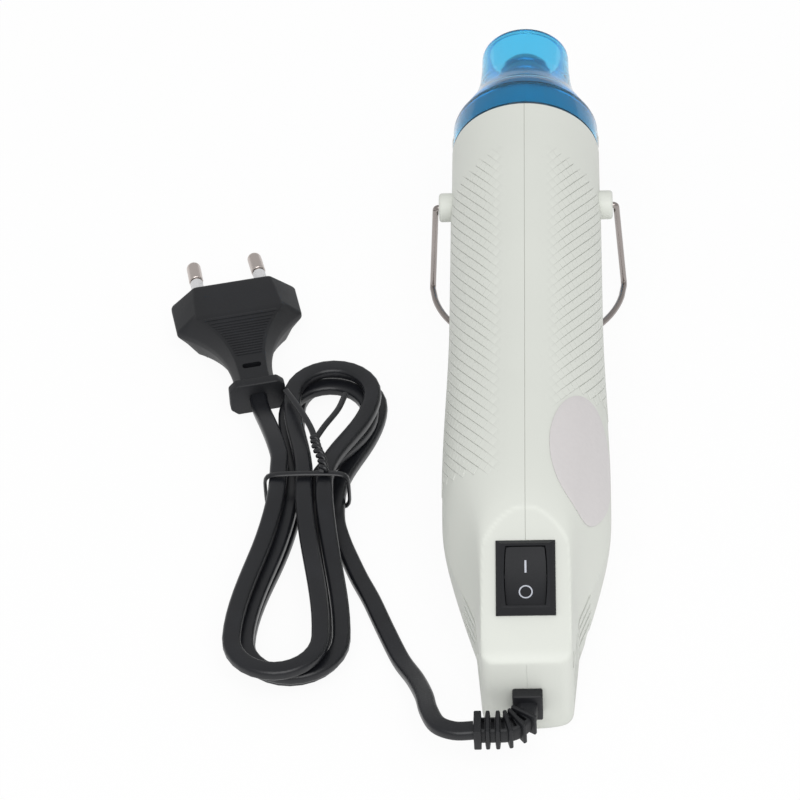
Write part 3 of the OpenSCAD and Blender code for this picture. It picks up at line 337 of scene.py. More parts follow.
def lathe(bm, profile, steps=96, closed=False):
    """Turns a profile of (y, radius) points round the Y axis."""
    verts = [bm.verts.new((r, y, 0.0)) for y, r in profile]
    pairs = list(zip(verts, verts[1:]))
    if closed:
        pairs.append((verts[-1], verts[0]))
    edges = [bm.edges.new(pair) for pair in pairs]
    bmesh.ops.spin(
        bm, geom=verts + edges, cent=(0, 0, 0), axis=(0, 1, 0), angle=math.tau, steps=steps, use_merge=True
    )
    bmesh.ops.remove_doubles(bm, verts=bm.verts, dist=1e-5)


def rod(bm, start, end, radius, count=32):
    """A straight rod between two points."""
    path = [Vector(start), Vector(end)]
    up = Vector((0, 0, 1)) if abs((path[1] - path[0]).normalized().z) < 0.9 else Vector((0, 1, 0))
    sweep(bm, path, round_section(radius, count), up)


def round_edges(bm, edges, offset, segments=3):
    return bmesh.ops.bevel(
        bm, geom=edges, offset=offset, affect="EDGES", segments=segments, profile=0.5, material=-1
    )


def block(bm, low, high, bevel=0.0, segments=2):
    """A box between two corners, its edges rounded."""
    low, high = Vector(low), Vector(high)
    made = bmesh.ops.create_cube(bm, size=1.0)["verts"]
    bmesh.ops.scale(bm, verts=made, vec=high - low)
    bmesh.ops.translate(bm, verts=made, vec=(low + high) / 2)
    if bevel:
        edges = list(dict.fromkeys(e for v in made for e in v.link_edges))
        made = round_edges(bm, edges, bevel, segments)["verts"]
    return [v for v in dict.fromkeys(made) if v.is_valid]


def add_piece(bm, piece):
    """Adds another shape to a shape, as a separate part."""
    mesh = bpy.data.meshes.new("piece")
    piece.to_mesh(mesh)
    piece.free()
    bm.from_mesh(mesh)
    bpy.data.meshes.remove(mesh)


def connected(seed):
    """All the vertices joined to one vertex."""
    found = {seed}
    stack = [seed]
    while stack:
        for edge in stack.pop().link_edges:
            for vert in edge.verts:
                if vert not in found:
                    found.add(vert)
                    stack.append(vert)
    return list(found)


def face_outwards(bm):
    """Points the faces of every closed part outwards."""
    bmesh.ops.recalc_face_normals(bm, faces=bm.faces)
    left = set(bm.verts)
    while left:
        part = connected(left.pop())
        left.difference_update(part)
        faces = list({f for v in part for f in v.link_faces})
        if sum(f.calc_center_median().dot(f.normal) * f.calc_area() for f in faces) < 0:
            bmesh.ops.reverse_faces(bm, faces=faces)


def put_in_order(bm):
    """Numbers a shape's elements by place, so that each run cuts and joins the same mesh."""
    line = Vector((1.0, 0.7549, 0.5698))
    bm.verts.sort(key=lambda vert: vert.co.dot(line))
    bm.edges.sort(key=lambda edge: (edge.verts[0].co + edge.verts[1].co).dot(line))
    bm.faces.sort(key=lambda face: face.calc_center_median().dot(line))


def finish_mesh(bm, name, matrix=TOOL, closed=True):
    """Ends a shape: scales it to metres, points its faces outwards and puts it in the scene."""
    if closed:
        face_outwards(bm)
    put_in_order(bm)
    bmesh.ops.transform(bm, matrix=SCALE @ matrix, verts=bm.verts)
    mesh = bpy.data.meshes.new(name)
    bm.to_mesh(mesh)
    bm.free()
    obj = bpy.data.objects.new(name, mesh)
    bpy.context.scene.collection.objects.link(obj)
    return obj


def smooth(obj, degrees=32.0):
    """Smooth shading with the sharp edges kept."""
    mesh = obj.data
    mesh.polygons.foreach_set("use_smooth", [True] * len(mesh.polygons))
    mesh.set_sharp_from_angle(angle=math.radians(degrees))


def apply_modifiers(obj):
    """Bakes an object's modifiers into its mesh."""
    bpy.context.view_layer.update()
    shown = obj.evaluated_get(bpy.context.evaluated_depsgraph_get())
    mesh = bpy.data.meshes.new_from_object(shown)
    mesh.name = obj.name
    obj.modifiers.clear()
    obj.data = mesh


def combine(obj, other, operation):
    """Cuts another shape out of an object, or joins it on, and removes the other shape."""
    modifier = obj.modifiers.new("Boolean", "BOOLEAN")
    modifier.operation = operation
    modifier.solver = "MANIFOLD"
    modifier.object = other
    apply_modifiers(obj)
    bpy.data.objects.remove(other)


def settle(obj, body, slot, finish, *nodes):
    """Gives a piece its body and its finish, and hides the nodes it stands for; the slot is not used."""
    obj.data.materials.clear()
    obj.data.materials.append(finish)
    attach(obj, body)
    if nodes:
        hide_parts(*nodes)
    return obj


# Finishes


class Value:
    """A socket whose sums and products add the nodes that work them out."""

    def __init__(self, finish, socket):
        self.finish = finish
        self.socket = socket

    def maths(self, operation, *values):
        node = self.finish.node("ShaderNodeMath", {"operation": operation}, dict(enumerate(values)))
        return Value(self.finish, node.outputs[0])

    def __add__(self, other):
        return self.maths("ADD", self, other)

    def __mul__(self, other):
        return self.maths("MULTIPLY", self, other)

    def __radd__(self, other):
        return self.maths("ADD", other, self)

    def __rmul__(self, other):
        return self.maths("MULTIPLY", other, self)

    def over(self, low, high):
        """0 below low, 1 above high and even between."""
        sockets = {"Value": self, "From Min": low, "From Max": high}
        node = self.finish.node("ShaderNodeMapRange", {"clamp": True}, sockets)
        return Value(self.finish, node.outputs[0])


class Finish:
    """A procedural material, whose nodes all come from one method."""

    def __init__(self, name):
        self.material = bpy.data.materials.new(name)
        self.material.use_nodes = True
        self.tree = self.material.node_tree
        self.tree.nodes.clear()
        self.places = {}

    def node(self, kind, settings=None, sockets=None):
        node = self.tree.nodes.new(kind)
        for key, setting in (settings or {}).items():
            setattr(node, key, setting)
        for key, value in (sockets or {}).items():
            socket = node.inputs[key]
            if isinstance(value, Value):
                self.tree.links.new(value.socket, socket)
            elif socket.type == "RGBA":
                socket.default_value = (*value, 1.0)
            else:
                socket.default_value = value
        return node

    def output(self, node, name=0):
        return Value(self, node.outputs[name])

    def place(self, stretch):
        """The place on the surface, stretched."""
        key = tuple(stretch)
        if key not in self.places:
            where = self.output(self.node("ShaderNodeTexCoord"), "Object")
            mapped = self.node("ShaderNodeMapping", None, {"Vector": where, "Scale": stretch})
            self.places[key] = self.output(mapped)
        return self.places[key]

    def noise(self, scale, detail=3.0, stretch=(1.0, 1.0, 1.0)):
        sockets = {"Vector": self.place(stretch), "Scale": scale, "Detail": detail}
        return self.output(self.node("ShaderNodeTexNoise", None, sockets), "Fac")

    def cells(self, scale, output="Distance"):
        sockets = {"Vector": self.place((1.0, 1.0, 1.0)), "Scale": scale}
        return self.output(self.node("ShaderNodeTexVoronoi", None, sockets), output)

    def bands(self, scale, axis):
        settings = {"wave_type": "BANDS", "bands_direction": axis}
        sockets = {"Vector": self.place((1.0, 1.0, 1.0)), "Scale": scale}
        return self.output(self.node("ShaderNodeTexWave", settings, sockets), "Fac")

    def attribute(self, name):
        return self.output(self.node("ShaderNodeAttribute", {"attribute_name": name}), "Fac")

    def mix(self, factor, first, second):
        """Blends two colours."""
        node = self.node("ShaderNodeMix", {"data_type": "RGBA"}, {"Factor": factor})
        for key, colour in (("A", first), ("B", second)):
            socket = next(s for s in node.inputs if s.name == key and s.type == "RGBA")
            if isinstance(colour, Value):
                self.tree.links.new(colour.socket, socket)
            else:
                socket.default_value = (*colour, 1.0)
        return Value(self, next(s for s in node.outputs if s.type == "RGBA"))

    def bump(self, height, distance, strength):
        sockets = {"Height": height, "Distance": distance, "Strength": strength}
        return self.output(self.node("ShaderNodeBump", None, sockets), "Normal")

    def surface(self, colour, roughness, normal=None, **constants):
        """The shader at the end, with what is the same everywhere set on its own sockets."""
        sockets = {"Base Color": colour, "Roughness": roughness}
        sockets.update({name.replace("_", " "): value for name, value in constants.items()})
        if normal:
            sockets["Normal"] = normal
        shader = self.node("ShaderNodeBsdfPrincipled", None, sockets)
        self.node("ShaderNodeOutputMaterial", None, {"Surface": self.output(shader, "BSDF")})
        return self.material


def darker(rgb, share):
    """A colour times a share, which is lighter where the share is over 1."""
    return tuple(min(1.0, c * share) for c in rgb)


def shell_finish():
    """Moulded light grey plastic with a fine spark-eroded grain, with painted shade in the grip's grooves
    and a painted highlight along the line round the switch pad.
    """
    f = Finish("shell_plastic")
    base = tuple(colours().shell)
    cloud = f.noise(38.0, 2.0)
    grain = f.noise(2600.0, 2.0)
    tint = f.mix(cloud.over(0.35, 0.7) * 0.5, base, darker(base, 0.955))
    # painted shade: darker in the grooves round the grip's diamonds, from the attribute that the grip marks
    tint = f.mix(f.attribute("painted_groove_shade") * 0.85, tint, darker(base, 0.6))
    # painted highlight: lighter along the line where the switch pad meets the barrel and the flanks
    tint = f.mix(f.attribute("ridge") * 0.42, tint, darker(base, 1.22))
    rough = 0.4 + grain * 0.12 + cloud * 0.06
    return f.surface(tint, rough, f.bump(grain, 0.00006, 0.5), Specular_IOR_Level=0.42)


def cover_finish():
    """Clear blue moulding, glossy, with faint flow marks and painted shade at its rear edge, shoulder and
    lip.
    """
    f = Finish("cover_blue")
    base = tuple(colours().cover)
    flow = f.noise(60.0, 2.0, (1.0, 0.3, 1.0))
    tint = f.mix(flow.over(0.3, 0.75) * 0.3, base, darker(base, 0.85))
    # painted shade: nearly black on the rings marked by the edge attribute, at the rear gap, the shoulder
    # and the lip
    tint = f.mix(f.attribute("edge"), tint, darker(base, 0.05))
    rough = 0.06 + flow * 0.06
    return f.surface(tint, rough, f.bump(flow, 0.0001, 0.12), Transmission_Weight=0.93, IOR=1.33)


def switch_finish():
    f = Finish("switch_charcoal")
    base = tuple(colours().switch)
    grain = f.noise(3200.0, 2.0)
    tint = f.mix(f.noise(120.0).over(0.35, 0.75) * 0.5, base, darker(base, 1.35))
    return f.surface(tint, 0.44 + grain * 0.14, f.bump(grain, 0.00005, 0.5), Specular_IOR_Level=0.24)


def mark_finish():
    f = Finish("printed_marks")
    base = tuple(colours().marks)
    worn = f.noise(1400.0, 3.0)
    return f.surface(f.mix(worn.over(0.5, 0.8) * 0.4, base, darker(base, 0.7)), 0.45 + worn * 0.15)


def rubber_finish(name, rough=0.2, lift=1.0):
    """Black plastic of the cord, plug and strain relief, with a fine skin and a little dust."""
    f = Finish(name)
    base = tuple(lift * c for c in colours().cord)
    skin = f.noise(1900.0, 3.0)
    dust = f.noise(90.0, 4.0)
    tint = f.mix(dust.over(0.45, 0.85) * 0.6, base, darker(base, 2.1))
    rough = rough + dust * 0.16 + skin * 0.08
    return f.surface(tint, rough, f.bump(skin, 0.00007, 0.45), Specular_IOR_Level=0.42)


def tie_finish():
    f = Finish("tie_plastic")
    base = darker(tuple(colours().cord), 0.9)
    skin = f.noise(2600.0, 2.0)
    return f.surface(f.mix(skin.over(0.4, 0.8) * 0.5, base, darker(base, 2.2)), 0.24 + skin * 0.12)


def metal_finish(name, base, rough, stretch=(1.0, 1.0, 1.0), stain=0.85):
    """Bare metal with drawn streaks and faint stains."""
    f = Finish(name)
    streak = f.noise(1400.0, 4.0, stretch)
    cloud = f.noise(70.0, 3.0)
    tint = f.mix(cloud.over(0.4, 0.8) * 0.6, base, darker(base, stain))
    rough = rough + streak * 0.1 + cloud * 0.06
    return f.surface(tint, rough, f.bump(streak, 0.00003, 0.4), Metallic=1.0)


def label_finish():
    f = Finish("label_film")
    base = tuple(colours().label)
    fibre = f.noise(900.0, 4.0)
    tint = f.mix(fibre.over(0.35, 0.7) * 0.4, base, darker(base, 0.94))
    return f.surface(tint, 0.34 + fibre * 0.1, f.bump(fibre, 0.00002, 0.4))


def sleeve_finish():
    f = Finish("sleeve_plastic")
    base = tuple(colours().sleeve)
    cloud = f.noise(400.0, 2.0)
    return f.surface(f.mix(cloud * 0.5, base, darker(base, 0.88)), 0.3 + cloud * 0.12, Coat_Weight=0.2)


def plain_plastic(name, base, rough=0.45, scale=260.0):
    f = Finish(name)
    cloud = f.noise(scale, 3.0)
    grain = f.noise(2400.0, 2.0)
    tint = f.mix(cloud.over(0.35, 0.75) * 0.6, base, darker(base, 0.8))
    return f.surface(tint, rough + grain * 0.12, f.bump(grain, 0.00004, 0.4))


def mica_finish():
    """Pressed mica sheet: flakes of tan and silver under a dull surface."""
    f = Finish("mica_sheet")
    flake = f.cells(420.0, output="Color")
    tone = f.noise(300.0, 4.0)
    tint = f.mix(tone.over(0.3, 0.7), (0.5, 0.38, 0.2), (0.66, 0.56, 0.36))
    tint = f.mix(f.cells(420.0).over(0.1, 0.7) * 0.5, tint, (0.34, 0.25, 0.13))
    grey = f.output(f.node("ShaderNodeRGBToBW", None, {"Color": flake}))
    return f.surface(tint, 0.35 + grey * 0.3, f.bump(tone, 0.00005, 0.5))


def rotor_finish():
    """Stacked iron sheets seen edge on, with lacquered copper in the slots."""
    f = Finish("rotor_stack")
    sheet = f.bands(420.0, "Y")
    tint = f.mix(sheet, (0.3, 0.28, 0.26), (0.5, 0.47, 0.44))
    tint = f.mix(f.noise(160.0).over(0.52, 0.7), tint, (0.42, 0.16, 0.06))
    return f.surface(tint, 0.35 + sheet * 0.15, f.bump(sheet, 0.00008, 0.5), Metallic=0.8)


def board_finish():
    f = Finish("board_green")
    weave = f.bands(900.0, "X") * f.bands(900.0, "Z")
    tint = f.mix(weave, (0.05, 0.19, 0.07), (0.08, 0.27, 0.1))
    tint = f.mix(f.noise(240.0).over(0.6, 0.64), tint, (0.55, 0.42, 0.16))
    return f.surface(tint, 0.3 + weave * 0.15, f.bump(weave, 0.00003, 0.5))


# Operators


class HEATTOOL_OT_stage(bpy.types.Operator):
    """Floor, camera, lamp and the plain white surroundings."""

    bl_idname = "heattool.stage"
    bl_label = "Stage"

    def execute(self, context):
        scene = context.scene
        scene.view_settings.view_transform = "Standard"
        self.camera(scene)
        self.floor(scene)
        self.world(scene)
        self.lamp(scene)
        return {"FINISHED"}

    def camera(self, scene):
        """A camera at the photograph's viewing angle: turned, tipped down and rolled a little."""
        away = Vector((-math.sin(CAMERA_AZIMUTH), math.cos(CAMERA_AZIMUTH), 0.0))
        rise = Vector((0.0, 0.0, 1.0))
        look = away * math.cos(CAMERA_ELEVATION) - rise * math.sin(CAMERA_ELEVATION)
        level_up = away * math.sin(CAMERA_ELEVATION) + rise * math.cos(CAMERA_ELEVATION)
        level_right = Vector((math.cos(CAMERA_AZIMUTH), math.sin(CAMERA_AZIMUTH), 0.0))
        right = level_right * math.cos(CAMERA_ROLL) + level_up * math.sin(CAMERA_ROLL)
        up = level_up * math.cos(CAMERA_ROLL) - level_right * math.sin(CAMERA_ROLL)
        data = bpy.data.cameras.new("photo_camera")
        data.sensor_width = 36.0
        data.lens = CAMERA_LENS
        data.clip_start = 0.01
        camera = bpy.data.objects.new("photo_camera", data)
        turn = Matrix((right, up, -look)).transposed().to_4x4()
        camera.matrix_world = Matrix.Translation(CAMERA_TARGET * MM - look * CAMERA_DISTANCE) @ turn
        scene.collection.objects.link(camera)
        scene.camera = camera

    def floor(self, scene):
        """Pale paper that shows white to the camera, through clear parts and in reflections."""
        bm = bmesh.new()
        bmesh.ops.create_grid(bm, x_segments=2, y_segments=2, size=FLOOR_REACH)
        bmesh.ops.translate(bm, verts=bm.verts, vec=(0, 0, -FLOOR_DROP))
        mesh = bpy.data.meshes.new("floor")
        bm.to_mesh(mesh)
        bm.free()
        floor = bpy.data.objects.new("floor", mesh)
        scene.collection.objects.link(floor)
        f = Finish("floor_paper")
        matt = f.output(f.node("ShaderNodeBsdfDiffuse", None, {"Color": (FLOOR_GREY,) * 3}))
        glow = f.output(f.node("ShaderNodeEmission", None, {"Color": (1.0, 1.0, 1.0), "Strength": 1.0}))
        path = f.node("ShaderNodeLightPath")
        seen = f.output(path, "Is Camera Ray")
        for kind in ("Is Glossy Ray", "Is Transmission Ray"):
            seen = seen.maths("MAXIMUM", seen, f.output(path, kind))
        mixed = f.node("ShaderNodeMixShader", None, {0: seen * FLOOR_GLOW, 1: matt, 2: glow})
        f.node("ShaderNodeOutputMaterial", None, {"Surface": f.output(mixed)})
        mesh.materials.append(f.material)

    def world(self, scene):
        world = bpy.data.worlds.new("studio")
        scene.world = world
        world.use_nodes = True
        back = world.node_tree.nodes["Background"]
        back.inputs["Color"].default_value = (1.0, 1.0, 1.0, 1.0)
        back.inputs["Strength"].default_value = WORLD_STRENGTH

    def lamp(self, scene):
        """One large soft lamp above and behind the camera, aimed at the origin."""
        data = bpy.data.lights.new("key", "AREA")
        data.size = LAMP_SIZE
        data.energy = LAMP_POWER
        lamp = bpy.data.objects.new("key", data)
        turn = LAMP_PLACE.to_track_quat("Z", "Y").to_matrix().to_4x4()
        lamp.matrix_world = Matrix.Translation(LAMP_PLACE) @ turn
        scene.collection.objects.link(lamp)


# Cord


def hank_height(v, layer):
    """Height of a strand's middle: its layer, and the lift towards the tie at the waist."""
    return REST_HEIGHT + TIE_LIFT * (1 - ease(*TIE_FADE, abs(v))) + LAYER_STEP * layer


def half_loop(i, steps):
    """Points of one half loop of the hank: out along a limb, round, and back to the waist."""
    way = 1 if i % 2 == 0 else -1
    side = 1 if WAIST_U[i] > WAIST_U[i + 1] else -1
    middle, radius, length = LOOP_MIDDLE[i], LOOP_RADIUS[i], LOOP_LENGTH[i]
    straight = length - radius
    low = WAIST_LAYER[i]
    rise = WAIST_LAYER[i + 1] - low
    out = []
    for k in range(3 * steps):
        q = k / steps
        if q <= 1:
            v = straight * q
            u = WAIST_U[i] + (middle + side * radius - WAIST_U[i]) * ease(0, 1, q)
            height = hank_height(v, low)
        elif q < 2:
            turn = math.pi * (q - 1)
            v = straight + radius * math.sin(turn)
            u = middle + side * radius * math.cos(turn)
            height = hank_height(length, low)
        else:
            v = straight * (3 - q)
            u = WAIST_U[i + 1] + (middle - side * radius - WAIST_U[i + 1]) * ease(0, 1, 3 - q)
            height = hank_height(v, low + rise * (1 - ease(*CLIMB, v)))
        out.append((u, way * v, height))
    return out


def relief_point(d):
    """A place along the strain relief, and how far it has turned there, in the tool's frame."""
    rear = -rear_length()
    arc = RELIEF_BEND * math.pi / 2
    if d < RELIEF_STUB:
        return Vector((0, rear - d, RELIEF_Z)), 0.0
    turned = min(d - RELIEF_STUB, arc) / RELIEF_BEND
    along = max(0.0, d - RELIEF_STUB - arc)
    x = RELIEF_BEND * (math.cos(turned) - 1) - along
    y = rear - RELIEF_STUB - RELIEF_BEND * math.sin(turned)
    return Vector((x, y, RELIEF_Z)), turned


def plug_matrix():
    return Matrix.Translation(PLUG_PLACE) @ Matrix.Rotation(PLUG_TURN, 4, "Z")


def hank_place(number, along):
    """The place of a numbered crossing of the waist, a little way along the hank."""
    height = hank_height(along, WAIST_LAYER[number])
    return HANK_PLACE + Vector((WAIST_U[number], along, height))


def cord_route():
    """The cord's centreline in millimetres: lead, hank and tail."""
    width = mm(sizes().cord_width)
    start = TOOL @ relief_point(RELIEF_LENGTH)[0]
    stub = start + Vector((-width, 0, -0.1))
    before_hank = HANK_PLACE + Vector((WAIST_U[0] + 0.5, -2 * width, hank_height(2 * width, 0)))
    lead = [start, stub, *LEAD_POINTS, before_hank, hank_place(0, -width)]
    loops = range(len(LOOP_LENGTH))
    hank = [HANK_PLACE + Vector(p) for i in loops for p in half_loop(i, LOOP_STEPS)]
    last = len(WAIST_U) - 1
    before_plug = plug_matrix() @ Vector((0, -PLUG_LENGTH - width, 0))
    end = plug_matrix() @ Vector((0, -PLUG_LENGTH, 0))
    tail = [hank_place(last, width), *(HANK_PLACE + Vector(p) for p in TAIL_POINTS), before_plug, end]
    hank.append(hank_place(last, 0.0))
    return smooth_path(lead, PATH_STEPS) + hank + smooth_path(tail, PATH_STEPS)


def cord_section(width, thickness):
    """Flat twin section: flat faces and round corners."""
    out = []
    for k in range(CORD_SIDES):
        a = math.tau * (k + 0.5) / CORD_SIDES
        c, s = math.cos(a), math.sin(a)
        x = math.copysign(width / 2 - CORD_CORNER, c) + CORD_CORNER * c
        z = math.copysign(thickness / 2 - CORD_CORNER, s) + CORD_CORNER * s
        out.append((x, z))
    return out


class HEATTOOL_OT_mains_cord(bpy.types.Operator):
    """The flat twin cord from the strain relief through the hank to the plug."""

    bl_idname = "heattool.mains_cord"
    bl_label = "Mains cord"

    def execute(self, context):
        route = cord_route()
        bm = bmesh.new()
        sweep(bm, route, cord_section(mm(sizes().cord_width), mm(sizes().cord_thickness)))
        cord = finish_mesh(bm, "mains_cord", Matrix.Identity(4))
        smooth(cord, 60.0)
        finish = rubber_finish("cord_skin")
        settle(cord, "tool", "cord_black", finish, "cord_lead", "cord_hank", "cord_tail")
        return {"FINISHED"}


class HEATTOOL_OT_twist_tie(bpy.types.Operator):
    """The twist tie: a loop round the hank's waist, its twisted stem and two loose ends."""

    bl_idname = "heattool.twist_tie"
    bl_label = "Twist tie"

    def execute(self, context):
        tie = mm(sizes().tie)
        low = tie / 2 + 0.02
        high = hank_height(0, max(WAIST_LAYER)) + mm(sizes().cord_thickness) / 2 + tie / 2 + 0.3
        bm = bmesh.new()
        self.loop(bm, tie, low, high)
        self.stem(bm, tie, high)
        fork = (2.8, 12.0, high + 0.9)
        ends = (
            (fork, (1.4, 17.0, high + 1.0), (-2.0, 25.0, high + 0.6), (-6.0, 33.0, high - 0.2)),
            (fork, (5.2, 17.0, high + 1.2), (8.6, 24.0, high + 0.8), (10.3, 31.0, high)),
        )
        flat = [(x * 1.15, z * 0.8) for x, z in round_section(tie / 2, 12)]
        for points in ends:
            sweep(bm, smooth_path(points, 8), flat)
        obj = finish_mesh(bm, "twist_tie", Matrix.Translation(HANK_PLACE))
        smooth(obj, 50.0)
        settle(obj, "tool", "cord_black", tie_finish(), "cord_tie")
        return {"FINISHED"}

    def loop(self, bm, tie, low, high):
        """A flat band, nearly square in outline, drawn tight round the waist."""
        steps, sides, square = 64, 12, 6
        middle = (max(WAIST_U) + min(WAIST_U)) / 2
        half_width = (max(WAIST_U) - min(WAIST_U)) / 2 + mm(sizes().cord_width) / 2 + tie / 2 + 0.4
        half_height = (high - low) / 2

        def ring(i):
            a = math.tau * i / steps
            c, s = math.cos(a), math.sin(a)
            r = ((abs(c) / half_width) ** square + (abs(s) / half_height) ** square) ** (-1 / square)
            centre = Vector((middle + r * c, 0.0, low + half_height + r * s))
            out = Vector((c, 0.0, s)).normalized() * 0.5
            flat = Vector((0.0, tie * 0.62, 0.0))
            around = [math.tau * k / sides for k in range(sides)]
            return lambda k: centre + out * math.cos(around[k]) + flat * math.sin(around[k])

        loft(bm, sides, [ring(i) for i in range(steps)], closed=True)

    def stem(self, bm, tie, high):
        """Two strands wound round each other."""
        rise = ((5.6, 0.3, 0.6), (4.9, 4.5, 1.0), (3.4, 9.0, 0.9), (2.6, 13.0, 0.7))
        stem = smooth_path([(x, y, high + z) for x, y, z in rise], 14)
        radius, twist = tie * 0.46, 0.52
        for start in (0.0, math.pi):
            wound = []
            for i, (point, side, top) in enumerate(frames(stem, Vector((0, 0, 1)))):
                a = start + i * twist
                wound.append(point + (side * math.cos(a) + top * math.sin(a)) * radius)
            sweep(bm, wound, round_section(radius, 10))


def plug_sizes(back):
    """Half width at mid height, half width on top and half thickness, behind the plug's face."""
    lip = 0.65 * (1 - clamp(back / 0.8))
    waist = 1 - clamp((back - HEAD_LENGTH) / 27.8)
    throat = 1 - clamp((back - HEAD_LENGTH - 1.9) / 25.9)
    mid = 5.5 + 12.15 * waist**3
    top = min(10.85 + 0.1 * back, 3.9 + 8.3 * throat**3)
    half = 4.1 + 2.75 * throat**1.8
    return mid - lip, top - lip, half - lip


def octagon(mid, band, top, half):
    """Corners of a flat eight-sided section: mid and band its upright sides, top and half its flats."""
    right = ((mid, -band), (mid, band), (top, half))
    return right + ((-top, half), (-mid, band), (-mid, -band), (-top, -half), (top, -half))


def section_ring(corners, y):
    return lambda k: Vector((corners[k][0], y, corners[k][1]))


class HEATTOOL_OT_plug(bpy.types.Operator):
    """The flat two-pin plug: body, grip ribs, collar, pins and pin sleeves."""

    bl_idname = "heattool.plug"
    bl_label = "Plug"

    def execute(self, context):
        place = plug_matrix()
        self.body(place)
        self.ribs(place)
        self.pins(place)
        return {"FINISHED"}

    def body(self, place):
        """The faceted head that narrows to a neck, the collar behind it and the slot on both faces."""
        bm = bmesh.new()
        stops = [0.0, 0.8, 6.0, HEAD_LENGTH, 12.6, 13.6] + [15.0 + 1.25 * k for k in range(21)]
        rings = []
        for back in stops:
            mid, top, half = plug_sizes(back)
            rings.append(section_ring(octagon(mid, 0.9, top, half), -back))
        loft(bm, 8, rings)
        bmesh.ops.recalc_face_normals(bm, faces=bm.faces)
        soft = []
        for edge in bm.edges:
            lengthwise = abs(edge.verts[0].co.y - edge.verts[1].co.y) > 0.4
            front = max(v.co.y for v in edge.verts) > -HEAD_LENGTH - 0.1
            sharp = edge.calc_face_angle(0.0) > math.radians(14 if front else 8)
            if sharp and (lengthwise or front):
                soft.append(edge)
        round_edges(bm, soft, 0.45)
        body = finish_mesh(bm, "plug_moulding", place)
        bm = bmesh.new()
        corners = octagon(7.7, 3.28, 5.78, 5.2)
        loft(bm, 8, [section_ring(corners, y) for y in (COLLAR_LENGTH - PLUG_LENGTH, -PLUG_LENGTH)])
        round_edges(bm, bm.edges[:], 0.5)
        combine(body, finish_mesh(bm, "plug_collar", place), "UNION")
        bm = bmesh.new()
        top = plug_sizes(33.5)[2]
        for side in (-1, 1):
            low, high = sorted((side * (top - 3.0), side * (top + 2)))
            block(bm, (-2.6, -34.4, low), (2.6, -32.6, high), 0.75, 4)
        combine(body, finish_mesh(bm, "plug_slot", place), "DIFFERENCE")
        smooth(body, 36.0)
        settle(body, "tool", "cord_black", rubber_finish("plug_plastic", 0.42, 0.9), "plug_body")

    def ribs(self, place):
        """Rows of raised ribs across both faces of the plug, the first ones wider."""
        bm = bmesh.new()
        back = 14.4
        step = 1.75
        while back < 29.5:
            half_run = plug_sizes(back + 0.4)[1] - 0.7
            for side in (-1, 1):
                top = plug_sizes(back + step * 0.35)[2]
                low, high = sorted((side * (top - 0.9), side * (top + 0.2)))
                block(bm, (-half_run, -back - step * 0.6, low), (half_run, -back, high), 0.16)
            step = max(0.95, step * 0.84)
            back += step
        ribs = finish_mesh(bm, "plug_ribs", place)
        smooth(ribs)
        settle(ribs, "tool", "cord_black", rubber_finish("rib_plastic", 0.42, 0.9))

    def pins(self, place):
        """The two pins, leaning a little to each other, and a sleeve on each."""
        radius = mm(sizes().pin) / 2
        slim = radius - 0.2
        length, shoulder, core, sleeve_end = 16.6, 9.2, 1.45, 8.85
        metal = [(-0.5, 0.02), (-0.5, core), (shoulder, core)]
        metal += [(shoulder + 0.05, radius - 0.15), (shoulder + 0.25, radius)]
        for k in range(9):
            a = math.pi / 2 * k / 8
            y = length - radius * 0.8 * (1 - math.sin(a))
            metal.append((y, radius - radius * 0.72 * (1 - math.cos(a))))
        metal.append((length, 0.02))
        bore = core + 0.09
        sleeve = [(-0.3, bore), (-0.3, slim), (sleeve_end - 0.25, slim)]
        sleeve += [(sleeve_end, slim - 0.1), (sleeve_end, bore)]
        nickel = metal_finish("pin_nickel", (0.59, 0.53, 0.5), 0.24, (4.0, 0.4, 4.0))
        rows = (
            ("plug_pin_metal", metal, False, "pin_metal", nickel, "plug_pins"),
            ("plug_pin_sleeves", sleeve, True, "sleeve_grey", sleeve_finish(), "pin_sleeves"),
        )
        for name, profile, closed, slot, finish, node in rows:
            bm = bmesh.new()
            lathe(bm, profile, 40, closed)
            bmesh.ops.duplicate(bm, geom=bm.verts[:] + bm.edges[:] + bm.faces[:])
            half = len(bm.verts) // 2
            for i, vert in enumerate(bm.verts):
                vert.co.x += (9.2 - 0.03 * vert.co.y) * (1 if i < half else -1)
            obj = finish_mesh(bm, name, place)
            smooth(obj)
            settle(obj, "tool", slot, finish, node)


